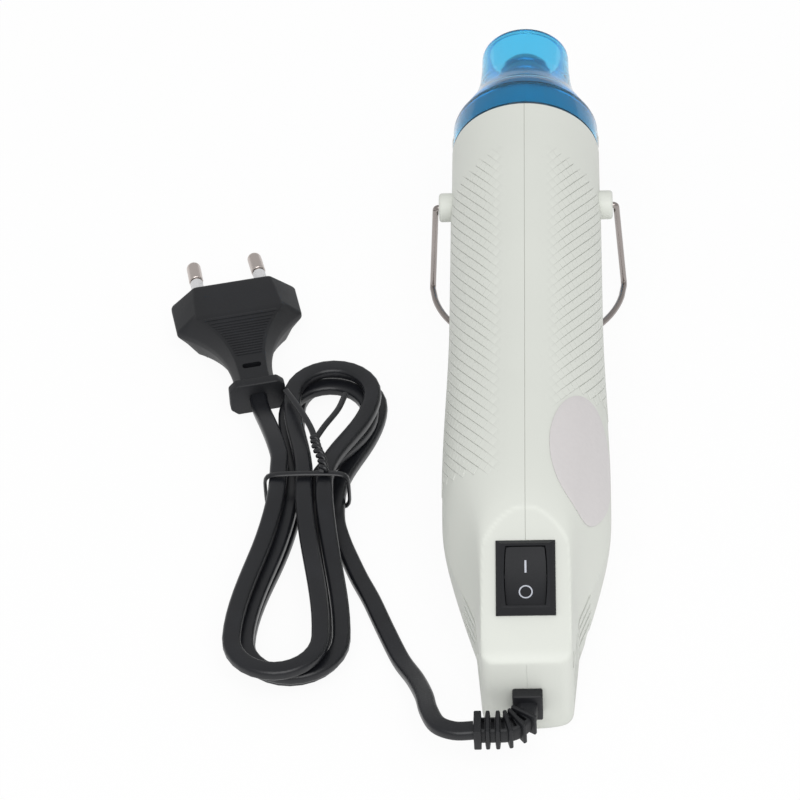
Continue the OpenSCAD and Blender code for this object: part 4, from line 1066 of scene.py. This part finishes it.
class HEATTOOL_OT_strain_relief(bpy.types.Operator):
    """The strain relief: flange, square core, tapered fins with pits between, and end collar."""

    bl_idname = "heattool.strain_relief"
    bl_label = "Strain relief"

    def execute(self, context):
        rear = -rear_length()
        finish = rubber_finish("relief_plastic", 0.42, 0.8)
        core = self.core()
        combine(core, self.pits(), "DIFFERENCE")
        smooth(core, 40.0)
        settle(core, "tool", "cord_black", finish, "strain_relief")
        half = RELIEF_CORE
        bm = bmesh.new()
        block(bm, (-3.8, rear - 3.0, RELIEF_Z - 4.7), (3.8, rear - 0.02, RELIEF_Z + 4.7), 0.45, 3)
        block(bm, (-half, rear - 1.0, RELIEF_Z - half), (half, rear + 3.0, RELIEF_Z + half))
        for k in range(1, RELIEF_FINS + 1):
            add_piece(bm, self.fin(k))
        obj = finish_mesh(bm, "relief_fins")
        smooth(obj, 40.0)
        settle(obj, "tool", "cord_black", finish)
        return {"FINISHED"}

    def place(self, k):
        """Where the fin of a number sits, and which way it faces."""
        run = RELIEF_LENGTH - RELIEF_STUB - 2
        point, turn = relief_point(RELIEF_STUB + 1 + run * k / RELIEF_FINS)
        return Matrix.Translation(point) @ Matrix.Rotation(-turn, 4, "Z")

    def core(self):
        """A rounded square core along the bend."""
        sides, steps, square = 32, 40, 0.4
        path = [relief_point(RELIEF_LENGTH * k / steps)[0] for k in range(5, steps + 1)]
        section = []
        for k in range(sides):
            a = math.tau * (k + 0.5) / sides
            c, s = math.cos(a), math.sin(a)
            x = RELIEF_CORE * math.copysign(abs(c) ** square, c)
            z = RELIEF_CORE * math.copysign(abs(s) ** square, s)
            section.append((x, z))
        bm = bmesh.new()
        sweep(bm, path, section)
        return finish_mesh(bm, "relief_core")

    def pits(self):
        """Small pits in the core, between the fins, above and below."""
        bm = bmesh.new()
        for k in range(1, RELIEF_FINS):
            for side in (-1, 1):
                made = block(bm, (-1.6, -0.42, 1.2), (1.6, 0.42, 3.5))
                turn = Matrix.Rotation(math.pi if side < 0 else 0.0, 4, "Y")
                bmesh.ops.transform(bm, matrix=self.place(k + 0.5) @ turn, verts=made)
        return finish_mesh(bm, "relief_pits")

    def fin(self, k):
        """One square fin, thicker at the core than at its rim; the last one is the end collar."""
        last = k == RELIEF_FINS
        thick = 1.9 if last else 0.95
        wide = 7.1
        bm = bmesh.new()
        bmesh.ops.create_cube(bm, size=1.0)
        bmesh.ops.scale(bm, verts=bm.verts, vec=(wide, thick, wide))
        rim = bm.edges[:]
        if not last:
            broad = [f for f in bm.faces if abs(f.calc_center_median().y) > thick / 4]
            bmesh.ops.inset_individual(bm, faces=broad, thickness=1.5, depth=0.2)
        round_edges(bm, rim, 0.3)
        bmesh.ops.transform(bm, matrix=self.place(k), verts=bm.verts)
        return bm


class HEATTOOL_OT_cord_facts(bpy.types.Operator):
    """Works out the free cord's start and route in metres and lists the pieces on it; nothing is kept or
    shown.
    """

    bl_idname = "heattool.cord_facts"
    bl_label = "Cord facts"

    def execute(self, context):
        pieces = ["plug_moulding", "plug_ribs", "plug_pin_metal", "plug_pin_sleeves"]
        pieces += ["relief_core", "relief_fins", "twist_tie"]
        tuple(TOOL @ relief_point(RELIEF_LENGTH)[0] * MM)
        [p * MM for p in cord_route()]
        return {"FINISHED"}


# Body


def rear_length():
    return mm(sizes().rear_length)


def body_radius(s):
    tube, swell = mm(sizes().tube_radius), mm(sizes().swell_radius)
    return tube + (swell - tube) * ease(LOFT_START, rear_length() - 64.0, s)


def pad_height(s):
    start = rear_length() - 42.0
    return mm(sizes().swell_radius) - 0.6 - (s - start) * math.tan(PAD_ANGLE)


def flank_width(s):
    if s < FLANK_BEND:
        slope = (mm(sizes().swell_radius) - BEND_WIDTH) / (FLANK_BEND - FLANK_START)
        return BEND_WIDTH + (FLANK_BEND - s) * slope
    slope = (BEND_WIDTH - TAIL_WIDTH) / (rear_length() - FLANK_BEND)
    return BEND_WIDTH - (s - FLANK_BEND) * slope


def flank_lean(s):
    """How much the flanks lean in towards the pad."""
    return clamp((flank_width(s) - 11.5) / max(4.0, pad_height(s)))


def table_depth(s):
    """How far below the barrel's middle the surface lies that the tool stands on."""
    return (PIVOT.z - s * math.sin(TILT)) / math.cos(TILT)


def tail_trim(s):
    t = clamp((s - rear_length() + TAIL_ROUND) / TAIL_ROUND)
    return TAIL_ROUND * (1 - math.sqrt(1 - t * t))


def ridge(s, a):
    """1 on the line where the pad meets the barrel and the flanks, 0 away from it."""
    up, c = math.sin(a), abs(math.cos(a))
    if up < 0.3 or s < 110.0:
        return 0.0
    pad = pad_height(s) + 1.1 * (1 - ease(126.0, 150.0, s))
    lean = clamp((flank_width(s) - 11.5) / max(4.0, pad))
    around = min(body_radius(s), flank_width(s) / (c + up * lean))
    steep = math.hypot(math.tan(PAD_ANGLE), pad * c / (up * up * around))
    fade = 1 - ease(rear_length() - 7.0, rear_length() - 3.5, s)
    return fade * math.exp(-(((pad / up - around) / (RIDGE_WIDTH * steep)) ** 2))


def section_radius(s, a, inset=0.0):
    """The body's radius at an angle: the overlap of a circle, the pad, the flanks and the belly."""
    c, up, down = abs(math.cos(a)), max(0.0, math.sin(a)), max(0.0, -math.sin(a))
    cut = inset + tail_trim(s)
    shares = (
        1 / (body_radius(s) - cut),
        (c + up * flank_lean(s)) / (flank_width(s) - cut),
        up / (pad_height(s) - inset - tail_trim(s) * PAD_TRIM),
        down / (table_depth(s) + BELLY_SPARE - cut),
    )
    total = sum(share**EDGE_POWER for share in shares)
    bead = 0.0 if inset else RIDGE_HEIGHT * ridge(s, a)
    return total ** (-1 / EDGE_POWER) + bead


def body_point(s, a, lift):
    """A place on the skin, or lifted off it."""
    r = section_radius(s, a) + lift
    return Vector((r * math.cos(a), -s, r * math.sin(a)))


def flank_at(y, z):
    """How far out the flank lies at a place."""
    a = math.atan2(z, flank_width(-y))
    return section_radius(-y, a) * math.cos(a)


PAD_PLACE = Vector((0.0, SWITCH_Y, 21.3 - 20.4 * math.tan(PAD_ANGLE)))
PAD_FRAME = Matrix.Translation(PAD_PLACE) @ Matrix.Rotation(PAD_ANGLE, 4, "X")


class HEATTOOL_OT_housing(bpy.types.Operator):
    """The two half shells: moulded skin, bosses and lugs, vents, switch hole and screw recesses."""

    bl_idname = "heattool.housing"
    bl_label = "Half shells"

    def execute(self, context):
        finish = shell_finish()
        for name, side in (("right_housing", 1), ("left_housing", -1)):
            shell = self.shell(name + "_shell", side)
            combine(shell, self.knobs(side), "UNION")
            combine(shell, self.cuts(side), "DIFFERENCE")
            smooth(shell, 38.0)
            self.paint_ridge_highlight(shell)
            settle(shell, "tool", "shell", finish, name)
        return {"FINISHED"}

    def paint_ridge_highlight(self, shell):
        """Marks the line round the switch pad that the shell's finish paints lighter, a painted highlight.
        """
        mask = shell.data.attributes.new("ridge", "FLOAT", "POINT")
        to_tool = (SCALE @ TOOL).inverted()
        for vert in shell.data.vertices:
            place = to_tool @ vert.co
            mask.data[vert.index].value = ridge(-place.y, math.atan2(place.z, abs(place.x)))

    def shell(self, name, side):
        """One closed half: rings up the outside, over the neck's rim, down the inside, then parted."""
        count = 192
        rear = rear_length()
        front = mm(sizes().front_length)
        wall = mm(sizes().wall)
        tube = mm(sizes().tube_radius)
        seam = mm(sizes().seam)
        neck_end = front + NECK_LENGTH

        def ring(s, radius=None, inset=0.0, share=1.0):
            def at(k):
                a = math.tau * (k + 0.5) / count
                r = share * (radius or section_radius(s, a, inset))
                return Vector((r * math.cos(a), -s, max(r * math.sin(a), -table_depth(s))))

            return at

        tail = [rear - back for back in (0.0, 0.06, 0.25, 0.6, 1.0, 1.5, 2.1, 2.8)]
        barrel = [rear - 4.0 - 1.0 * k for k in range(60)]
        barrel += [LOFT_START + 6.0 * k for k in range(9, -1, -1)]
        rings = [ring(rear, share=share) for share in (0.04, 0.3, 0.6, 0.85)]
        rings += [ring(s) for s in tail + barrel + [20.0, 0.0, 0.3 - front]]
        rings += [ring(-front, tube - 0.3), ring(-front, NECK_RADIUS), ring(-neck_end, NECK_RADIUS)]
        rings += [ring(-neck_end, NECK_BORE), ring(-front, NECK_BORE)]
        rings += [ring(3.0 - front, tube - wall)]
        rings += [ring(s, inset=wall) for s in (LOFT_START, *reversed(barrel[:-10]), rear - wall)]
        rings += [ring(rear - wall, inset=wall, share=share) for share in (0.6, 0.3, 0.04)]
        bm = bmesh.new()
        loft(bm, count, rings)
        gap = 0.02 * side
        for place, clear in ((gap + side * seam, False), (gap, True)):
            bmesh.ops.bisect_plane(
                bm,
                geom=bm.verts[:] + bm.edges[:] + bm.faces[:],
                plane_co=(place, 0, 0),
                plane_no=(side, 0, 0),
                clear_inner=clear,
                dist=1e-5,
            )
        bmesh.ops.holes_fill(bm, edges=[e for e in bm.edges if e.is_boundary])
        self.open_seam(bm, gap, seam, front)
        return finish_mesh(bm, name)

    def open_seam(self, bm, gap, seam, front):
        """Drops the seam's edge ahead of the switch, and closes the seam behind it."""
        for vert in bm.verts:
            x, y, z = vert.co
            at_skin = math.hypot(x, z) > section_radius(-y, math.pi / 2) - 0.4
            if abs(x - gap) > 1e-4 or not at_skin:
                continue
            if z > 5.0 and SWITCH_Y < y < front:
                vert.co.z -= seam
            if z > 0.0 and y < SWITCH_Y:
                vert.co.x = 0.0

    def knobs(self, side):
        """The bail's boss and the lug that holds the cover, both with softly rounded ends."""
        bm = bmesh.new()
        boss = (0.0, 4.0, 19.0, 24.0, 0.9)
        lug = (LUG_Y, 2.2, 17.2, 20.5, 1.0)
        for y, radius, start, end, soft in (boss, lug):
            profile = [(start, 0.02), (start, radius)]
            for k in range(9):
                a = math.pi / 2 * k / 8
                out, down = soft * (1 - math.sin(a)), soft * (1 - math.cos(a))
                profile.append((end - out, radius - down))
            profile.append((end, 0.02))
            piece = bmesh.new()
            lathe(piece, profile, 40)
            turn = Matrix.Translation((0, y, 0)) @ Matrix.Rotation(-side * math.pi / 2, 4, "Z")
            bmesh.ops.transform(piece, matrix=turn, verts=piece.verts)
            add_piece(bm, piece)
        bmesh.ops.holes_fill(bm, edges=[e for e in bm.edges if e.is_boundary])
        return finish_mesh(bm, "knobs")

    def cuts(self, side):
        """Vent slots in two rows, screw recesses, bail bore, relief hole and switch hole."""
        bm = bmesh.new()
        for k in range(-2, 3):
            rear = (-159.5 if k == 2 else -164.5, -SLOT_SPLIT - 0.6)
            fore = (-SLOT_SPLIT + 0.6, -148.0 if k == -2 else -140.0)
            for start, end in (rear, fore):
                z = SLOT_MIDDLE + k * SLOT_PITCH
                low, high = sorted((side * 8.0, side * 24.0))
                block(bm, (low, start, z - SLOT_HEIGHT / 2), (high, end, z + SLOT_HEIGHT / 2), 0.25)
        if side > 0:
            for y, z in SCREW_SPOTS:
                flank = flank_at(y, z)
                rod(bm, (flank - SCREW_SINK, y, z), (flank + 8, y, z), SCREW_RECESS_RADIUS, 40)
        rod(bm, (side * 16.0, 0, 0), (side * 30.0, 0, 0), mm(sizes().wire) / 2 + 0.08, 32)
        block(bm, (-2.8, -172.0, RELIEF_Z - 2.8), (2.8, -162.0, RELIEF_Z + 2.8))
        hole = block(bm, (-6.5, -9.7, -6.0), (6.5, 9.0, 6.0))
        bmesh.ops.transform(bm, matrix=PAD_FRAME, verts=hole)
        return finish_mesh(bm, "cuts")


class HEATTOOL_OT_grip(bpy.types.Operator):
    """The knurled grip on both flanks: raised diamonds that fade out towards the top."""

    bl_idname = "heattool.grip"
    bl_label = "Knurled grip"

    def execute(self, context):
        finish = bpy.data.materials["shell_plastic"]
        for side in (1, -1):
            self.pad("grip_right" if side > 0 else "grip_left", side, finish)
        return {"FINISHED"}

    def pad(self, name, side, finish):
        """A lattice of diamonds, inset and raised in the flat, then wrapped round the flank."""
        height = mm(sizes().grip_height)
        radius = mm(sizes().tube_radius)
        middle_y = (GRIP_REAR + GRIP_FRONT) / 2
        reach = (GRIP_END - GRIP_START) / 2 * radius
        bm = bmesh.new()
        painted_groove_shade = bm.verts.layers.float.new("painted_groove_shade")
        bmesh.ops.create_grid(bm, x_segments=GRIP_CELLS, y_segments=GRIP_CELLS, size=GRIP_CELLS / 2)
        for vert in bm.verts:
            p, q = vert.co.x, vert.co.y
            vert.co = Vector(((p - q) * DIAMOND_ACROSS, (p + q) * DIAMOND_ALONG, 0.0))
        outside = []
        for face in bm.faces:
            centre = face.calc_center_median()
            turn = GRIP_START + (centre.x + reach) / radius
            if abs(centre.x) > reach or self.bare(side, centre.y + middle_y, turn):
                outside.append(face)
        bmesh.ops.delete(bm, geom=outside, context="FACES")
        # painted shade: the grooves between the diamonds are marked so that the shell's finish paints them
        # darker
        for vert in bm.verts:
            vert[painted_groove_shade] = 1.0
        rims = set(bm.verts)
        bmesh.ops.inset_individual(bm, faces=bm.faces[:], thickness=DIAMOND_SLOPE, depth=0.0)
        for vert in bm.verts:
            turn = GRIP_START + (vert.co.x + reach) / radius
            y = vert.co.y + middle_y
            fade = ease(*GRIP_FADE_TOP, turn) * ease(*GRIP_FADE_BELOW, turn)
            lift = 0.0 if vert in rims else height * fade
            a = math.pi / 2 - side * turn
            vert.co = body_point(-y, a, 0.015 + lift)
            vert[painted_groove_shade] = fade if vert in rims else 0.0
        bmesh.ops.recalc_face_normals(bm, faces=bm.faces)
        if sum(f.normal.x * f.calc_area() for f in bm.faces) * side < 0:
            bmesh.ops.reverse_faces(bm, faces=bm.faces)
        grip = finish_mesh(bm, name, closed=False)
        smooth(grip, 20.0)
        settle(grip, "tool", "shell", finish)

    def bare(self, side, y, turn):
        """True past the grip's slanted ends, and under the oval sticker on the right flank."""
        down = clamp((turn - math.radians(15.0)) / math.radians(65.0))
        if not -116.0 + 10.0 * down < y < 3.5 - 7.0 * down:
            return True
        if side < 0:
            return False
        along = (y + 107.0) / 22.6
        around = (turn - LABEL_TURN) * mm(sizes().swell_radius) / 13.6
        below = y < -80.0 and turn > math.radians(62.0)
        return along * along + around * around < 1.0 or below


class HEATTOOL_OT_label(bpy.types.Operator):
    """The blank oval sticker on the right flank."""

    bl_idname = "heattool.label"
    bl_label = "Oval sticker"

    def execute(self, context):
        count = 96
        skin, top = 0.07, 0.32

        def ring(rim, lift):
            def at(k):
                a = math.tau * k / count
                back = LABEL_MIDDLE + rim * LABEL_HALF_LENGTH * math.cos(a)
                around = rim * LABEL_HALF_WIDTH * math.sin(a) / mm(sizes().swell_radius)
                return body_point(back, math.pi / 2 - LABEL_TURN + around, lift)

            return at

        rims = [0.04] + [k / 10 for k in range(1, 10)]
        rings = [ring(r, top) for r in rims]
        rings += [ring(0.985, top), ring(1.0, 0.26), ring(1.0, skin)]
        rings += [ring(r, skin) for r in reversed(rims)]
        bm = bmesh.new()
        loft(bm, count, rings)
        label = finish_mesh(bm, "oval_label")
        smooth(label, 40.0)
        settle(label, "tool", "label_grey", label_finish(), "label_sticker")
        return {"FINISHED"}


# Outer radius of the cover's flare at places along the barrel
FLARE = ((29.3, 19.4), (31.3, 18.8), (33.3, 17.9), (36.3, 16.4), (39.3, 15.0))
FLARE += ((42.3, 14.0), (46.3, 13.1), (52.3, 12.5), (58.5, 12.3))


class HEATTOOL_OT_nozzle(bpy.types.Operator):
    """The clear blue nozzle cover and the drawn metal outlet seen through it."""

    bl_idname = "heattool.nozzle"
    bl_label = "Nozzle"

    def execute(self, context):
        wall = mm(sizes().cover_wall)
        seat = NECK_RADIUS + 0.2
        band = [(20.15, 20.1), (20.4, 20.4), (20.55, 20.4), (20.65, 20.4)]
        shoulder = [(28.8, 20.2), (28.9, 20.17), (29.15, 20.1), (29.3, 19.85)]
        outside = [(y, knots(FLARE, y)) for y in (29.5 + k * 0.55 for k in range(53))]
        rim = [(58.9, 12.22), (59.2, 12.0), (59.3, 11.7), (59.3, 10.45), (59.25, 10.3)]
        lip = [(59.1, 10.05), (58.85, 10.0), (58.75, 10.02), (58.3, 10.35)]
        inside = [(y, knots(FLARE, y) - wall) for y in (58.0 - k * 0.8 for k in range(29))]
        throat = [(34.4, 16.6), (32.5, 16.9), (30.9, NECK_RADIUS - wall), (28.7, seat), (20.2, seat)]
        bm = bmesh.new()
        lathe(bm, band + shoulder + outside + rim + lip + inside + throat, 160, closed=True)
        cover = finish_mesh(bm, "clear_cover")
        bm = bmesh.new()
        for side in (-1, 1):
            rod(bm, (side * 17.6, LUG_Y, 0), (side * 26, LUG_Y, 0), 2.35, 40)
        combine(cover, finish_mesh(bm, "lug_holes"), "DIFFERENCE")
        smooth(cover, 34.0)
        self.paint_edge_shade(cover)
        settle(cover, "tool", "cover", cover_finish(), "nozzle_cover")
        self.outlet()
        return {"FINISHED"}

    def paint_edge_shade(self, cover):
        """Marks the rings painted dark as shade: fully at the gap at the cover's rear edge and at its
        shoulder, fainter at its lip.
        """
        mask = cover.data.attributes.new("edge", "FLOAT", "POINT")
        to_tool = (SCALE @ TOOL).inverted()
        for vert in cover.data.vertices:
            place = to_tool @ vert.co
            radius = math.hypot(place.x, place.z)
            rear = place.y < 20.58 and radius > 19.0
            shoulder = 28.85 < place.y < 29.35 and radius > 19.0
            lip = 0.4 if place.y > 58.8 and radius < 10.2 else 0.0
            mask.data[vert.index].value = 1.0 if rear or shoulder else lip

    def outlet(self):
        """Sheet metal shield with rounded shoulders, rings pressed into its cone and rolled beads."""
        sheet, back, shoulder, steps = 0.6, -44.0, 19.6, 5
        radius, base, tip, start, end = 15.3, 9.2, 5.8, 36.0, 54.8
        path = [(back, radius), (shoulder, radius), (20.6, radius - 0.15), (21.4, radius - 0.6)]
        drop = (radius - base - 1.4) / steps
        for k in range(steps):
            y = 21.8 + 13.0 * k / steps
            r = radius - 0.9 - drop * k
            path += [(y, r), (y + 1.9, r - drop * 0.35), (y + 2.4, r - drop * 0.95)]
        path += [(start - 0.6, base + 0.1), (start, base)]
        for k in range(4):
            y = 38.2 + 4.4 * k
            tube = base + (tip - base) * (y - start) / (end - start)
            path.append((y - 0.1, tube))
            for a in (0.5, 1.05, 1.57, 2.1, 2.64):
                path.append((y + 0.6 - 0.6 * math.cos(a), tube + 0.45 * math.sin(a)))
            path.append((y + 1.3, tube - 0.12))
        path += [(end, tip), (end, tip - sheet)]
        inner = [(start, base - sheet), (21.4, radius - 1.3)]
        inner += [(shoulder, radius - sheet), (back, radius - sheet)]
        bm = bmesh.new()
        lathe(bm, path + inner, 128, closed=True)
        outlet = finish_mesh(bm, "outlet_metal")
        smooth(outlet, 40.0)
        steel = metal_finish("outlet_steel", (0.56, 0.57, 0.6), 0.24, (1.0, 6.0, 1.0), 0.75)
        settle(outlet, "tool", "steel", steel, "outlet_shield")


class HEATTOOL_OT_switch(bpy.types.Operator):
    """The rocker switch: mitred bezel, barrel-shaped rocker and its on and off marks."""

    bl_idname = "heattool.switch"
    bl_label = "Rocker switch"

    def execute(self, context):
        finish = switch_finish()
        place = TOOL @ PAD_FRAME
        self.bezel(place, finish)
        tipped = Matrix.Rotation(ROCKER_TIP, 4, "X") @ Matrix.Translation((0, BEZEL_SHIFT, 0))
        self.rocker(place @ tipped, finish)
        return {"FINISHED"}

    def bezel(self, place, finish):
        """The frame of the switch, from its body below up the bevel and down into the opening."""
        per_side = 12
        half_w = mm(sizes().bezel_width) / 2
        half_l = mm(sizes().bezel_length) / 2
        height = mm(sizes().bezel_height)
        open_w = mm(sizes().rocker_width) / 2 + 0.2
        open_l = mm(sizes().rocker_length) / 2 + 0.4

        def outline(w, l, z, bow=False):
            def at(k):
                edge, step = divmod(k, per_side)
                t = 2 * step / per_side - 1
                x, y = ((w, t * l), (-t * w, l), (-w, -t * l), (t * w, -l))[edge]
                if bow:
                    x = math.copysign(abs(x) * (1 - (y * y) / (2 * SIDE_CURVE * w)), x)
                return Vector((x, y + BEZEL_SHIFT, z))

            return at

        rings = [outline(6.35, 9.2, z) for z in (-10.0, 0.02)]
        bevel = ((0.0, 0.02), (0.0, 0.6), (0.12, 0.75), (1.45, height - 0.03), (1.6, height))
        rings += [outline(half_w - cut, half_l - cut, z) for cut, z in bevel]
        well = ((0.12, height), (0.0, height - 0.12), (0.0, -5.0))
        rings += [outline(open_w + flare, open_l + flare, z, True) for flare, z in well]
        bm = bmesh.new()
        loft(bm, 4 * per_side, rings)
        bezel = finish_mesh(bm, "switch_bezel", place)
        smooth(bezel, 24.0)
        settle(bezel, "tool", "switch_black", finish, "switch_body")

    def rocker(self, place, finish):
        """The paddle with a dished top, its pivot rod, and the marks on it."""
        half_w = mm(sizes().rocker_width) / 2
        half_l = mm(sizes().rocker_length) / 2

        def crown(y):
            """Height of the rocker's dished top along its length."""
            return 1.1 + 1.2 * (y / 8.0) ** 2

        bm = bmesh.new()
        bmesh.ops.create_grid(bm, x_segments=16, y_segments=40, size=1.0)
        for vert in bm.verts:
            y = vert.co.y * half_l
            x = vert.co.x * half_w * (1 - y * y / (2 * SIDE_CURVE * half_w))
            vert.co = Vector((x, y, crown(y) - 0.12 * vert.co.x**2))
        rim = [e for e in bm.edges if e.is_boundary]
        sides = bmesh.ops.extrude_edge_only(bm, edges=rim)["geom"]
        for vert in verts_of(sides):
            vert.co.z = -0.6 - 2.8 * clamp((half_l - abs(vert.co.y)) / 3.6)
        round_edges(bm, rim, 0.3)
        bmesh.ops.holes_fill(bm, edges=[e for e in bm.edges if e.is_boundary])
        rod(bm, (-5.9, -BEZEL_SHIFT, 0), (5.9, -BEZEL_SHIFT, 0), 0.8, 24)
        rocker = finish_mesh(bm, "switch_paddle", place)
        smooth(rocker, 34.0)
        settle(rocker, "rocker", "switch_black", finish, "switch_rocker")
        bm = bmesh.new()
        block(bm, (-0.24, 1.2, 0.0), (0.24, 4.3, 0.06))
        count = 48

        def circle(radius, z):
            points = round_section(radius, count)
            return lambda k: Vector((points[k][0], points[k][1] - 3.8, z))

        rows = ((1.42, 0.0), (1.42, 0.06), (1.76, 0.06), (1.76, 0.0))
        loft(bm, count, [circle(radius, z) for radius, z in rows], closed=True)
        for vert in bm.verts:
            vert.co.z += crown(vert.co.y) - 0.02 - 0.12 * (vert.co.x / half_w) ** 2
        marks = finish_mesh(bm, "switch_marks", place)
        settle(marks, "rocker", "switch_black", mark_finish())


class HEATTOOL_OT_bail(bpy.types.Operator):
    """The bent wire bail, one length of wire from pin to pin."""

    bl_idname = "heattool.bail"
    bl_label = "Wire bail"

    def execute(self, context):
        radius = mm(sizes().wire) / 2
        pin = Vector((17.1, 0.0, 0.0))
        top = Vector((24.95, 0.0, 0.0))
        corner = Vector((27.0, 5.904, -33.483))
        half = [pin, Vector((22.0, 0.0, 0.0))] + self.bend(pin, top, corner, 1.1)
        half += self.bend(top, corner, corner - Vector((0.0, 6.0, 0.0)), 1.6)
        foot = []
        for k in range(1, 40):
            a = math.pi * k / 40
            back = corner.x * math.sin(a)
            if back > 4.5:
                foot.append(Vector((corner.x * math.cos(a), corner.y - back, corner.z)))
        path = half + foot + [Vector((-p.x, p.y, p.z)) for p in reversed(half)]
        bm = bmesh.new()
        self.wire(bm, path, radius)
        bail = finish_mesh(bm, "wire_bail", Matrix.Translation(PIVOT))
        smooth(bail, 60.0)
        steel = metal_finish("bail_steel", (0.36, 0.325, 0.31), 0.15, (3.0, 3.0, 3.0), 0.7)
        settle(bail, "bail", "steel", steel, "bail_stand")
        return {"FINISHED"}

    def bend(self, before, corner, after, radius):
        """Points of a rounded corner between two straight runs."""
        a = (before - corner).normalized()
        b = (after - corner).normalized()
        start, end = corner + a * radius, corner + b * radius
        shares = [k / 8 for k in range(9)]
        return [start.lerp(corner, t).lerp(corner.lerp(end, t), t) for t in shares]

    def wire(self, bm, path, radius):
        """A round wire along a path that turns freely, its frame carried from point to point."""
        section = round_section(radius, 20)
        rings = []
        side = None
        for i, point in enumerate(path):
            along = (path[min(len(path) - 1, i + 1)] - path[max(0, i - 1)]).normalized()
            if side is None:
                side = along.orthogonal().normalized()
            side = (side - along * side.dot(along)).normalized()
            rings.append((point, side.copy(), along.cross(side)))

        def ring(place):
            point, across, square = place
            return lambda k: point + across * section[k][0] + square * section[k][1]

        loft(bm, len(section), [ring(r) for r in rings])


class HEATTOOL_OT_inside(bpy.types.Operator):
    """Finishes of the screws and the parts inside, whose shapes are the frame's own."""

    bl_idname = "heattool.inside"
    bl_label = "Inner parts"

    def execute(self, context):
        steel = metal_finish("zinc_steel", (0.6, 0.6, 0.58), 0.26, (1.0, 5.0, 1.0))
        brass = metal_finish("brass", (0.72, 0.5, 0.2), 0.22)
        mica = mica_finish()
        nylon = plain_plastic("nylon", (0.8, 0.79, 0.74), 0.42)
        finishes = {
            "mica_tube": mica,
            "mica_cross": mica,
            "heating_coil": metal_finish("heating_wire", (0.3, 0.27, 0.25), 0.4, stain=0.5),
            "thermal_cutout": steel,
            "heater_leads": plain_plastic("glass_sleeve", (0.76, 0.74, 0.68), 0.6, 900.0),
            "fan_impeller": plain_plastic("fan_plastic", (0.03, 0.03, 0.034), 0.38),
            "motor_can": steel,
            "motor_magnets": plain_plastic("ferrite", (0.05, 0.05, 0.055), 0.5, 700.0),
            "motor_end_cap": nylon,
            "motor_bushes": brass,
            "motor_rotor": rotor_finish(),
            "commutator": metal_finish("copper", (0.75, 0.38, 0.22), 0.25, (1.0, 5.0, 1.0)),
            "motor_shaft": metal_finish("ground_steel", (0.65, 0.65, 0.66), 0.14, (1.0, 0.2, 1.0)),
            "motor_mount": nylon,
            "rectifier_board": board_finish(),
            "rectifier_diodes": plain_plastic("diode_black", (0.02, 0.02, 0.022), 0.3, 500.0),
            "switch_terminals": brass,
            "supply_wire": plain_plastic("brown_sheath", (0.16, 0.06, 0.025), 0.34),
            "return_wire": plain_plastic("blue_sheath", (0.03, 0.1, 0.4), 0.34),
            "housing_screws": steel,
            "cord_clamp": plain_plastic("clamp_plastic", (0.035, 0.035, 0.038), 0.4),
            "clamp_screws": steel,
            "cord_inner_end": rubber_finish("inner_sheath"),
        }
        for name, finish in finishes.items():
            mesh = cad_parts[name].data
            mesh.materials.clear()
            mesh.materials.append(finish)
        return {"FINISHED"}


OPERATORS = (
    HEATTOOL_OT_stage,
    HEATTOOL_OT_mains_cord,
    HEATTOOL_OT_twist_tie,
    HEATTOOL_OT_plug,
    HEATTOOL_OT_strain_relief,
    HEATTOOL_OT_cord_facts,
    HEATTOOL_OT_housing,
    HEATTOOL_OT_grip,
    HEATTOOL_OT_label,
    HEATTOOL_OT_nozzle,
    HEATTOOL_OT_switch,
    HEATTOOL_OT_bail,
    HEATTOOL_OT_inside,
)


class HEATTOOL_PT_panel(bpy.types.Panel):
    """Lists the pieces, their sizes and their colours in the sidebar."""

    bl_idname = "HEATTOOL_PT_panel"
    bl_label = "Heat Tool"
    bl_space_type = "VIEW_3D"
    bl_region_type = "UI"
    bl_category = "Heat Tool"

    def draw(self, context):
        column = self.layout.column()
        for operator in OPERATORS:
            column.operator(operator.bl_idname)
        for group in (context.scene.heat_tool_sizes, context.scene.heat_tool_colours):
            for name in group.__annotations__:
                column.prop(group, name)


CLASSES = (HeatToolSizes, HeatToolColours, *OPERATORS, HEATTOOL_PT_panel)


def register():
    for cls in CLASSES:
        bpy.utils.register_class(cls)
    bpy.types.Scene.heat_tool_sizes = bpy.props.PointerProperty(type=HeatToolSizes)
    bpy.types.Scene.heat_tool_colours = bpy.props.PointerProperty(type=HeatToolColours)


def unregister():
    del bpy.types.Scene.heat_tool_colours
    del bpy.types.Scene.heat_tool_sizes
    for cls in reversed(CLASSES):
        bpy.utils.unregister_class(cls)


def main():
    register()
    for operator in OPERATORS:
        group, name = operator.bl_idname.split(".")
        getattr(getattr(bpy.ops, group), name)()


if __name__ == "__main__":
    main()
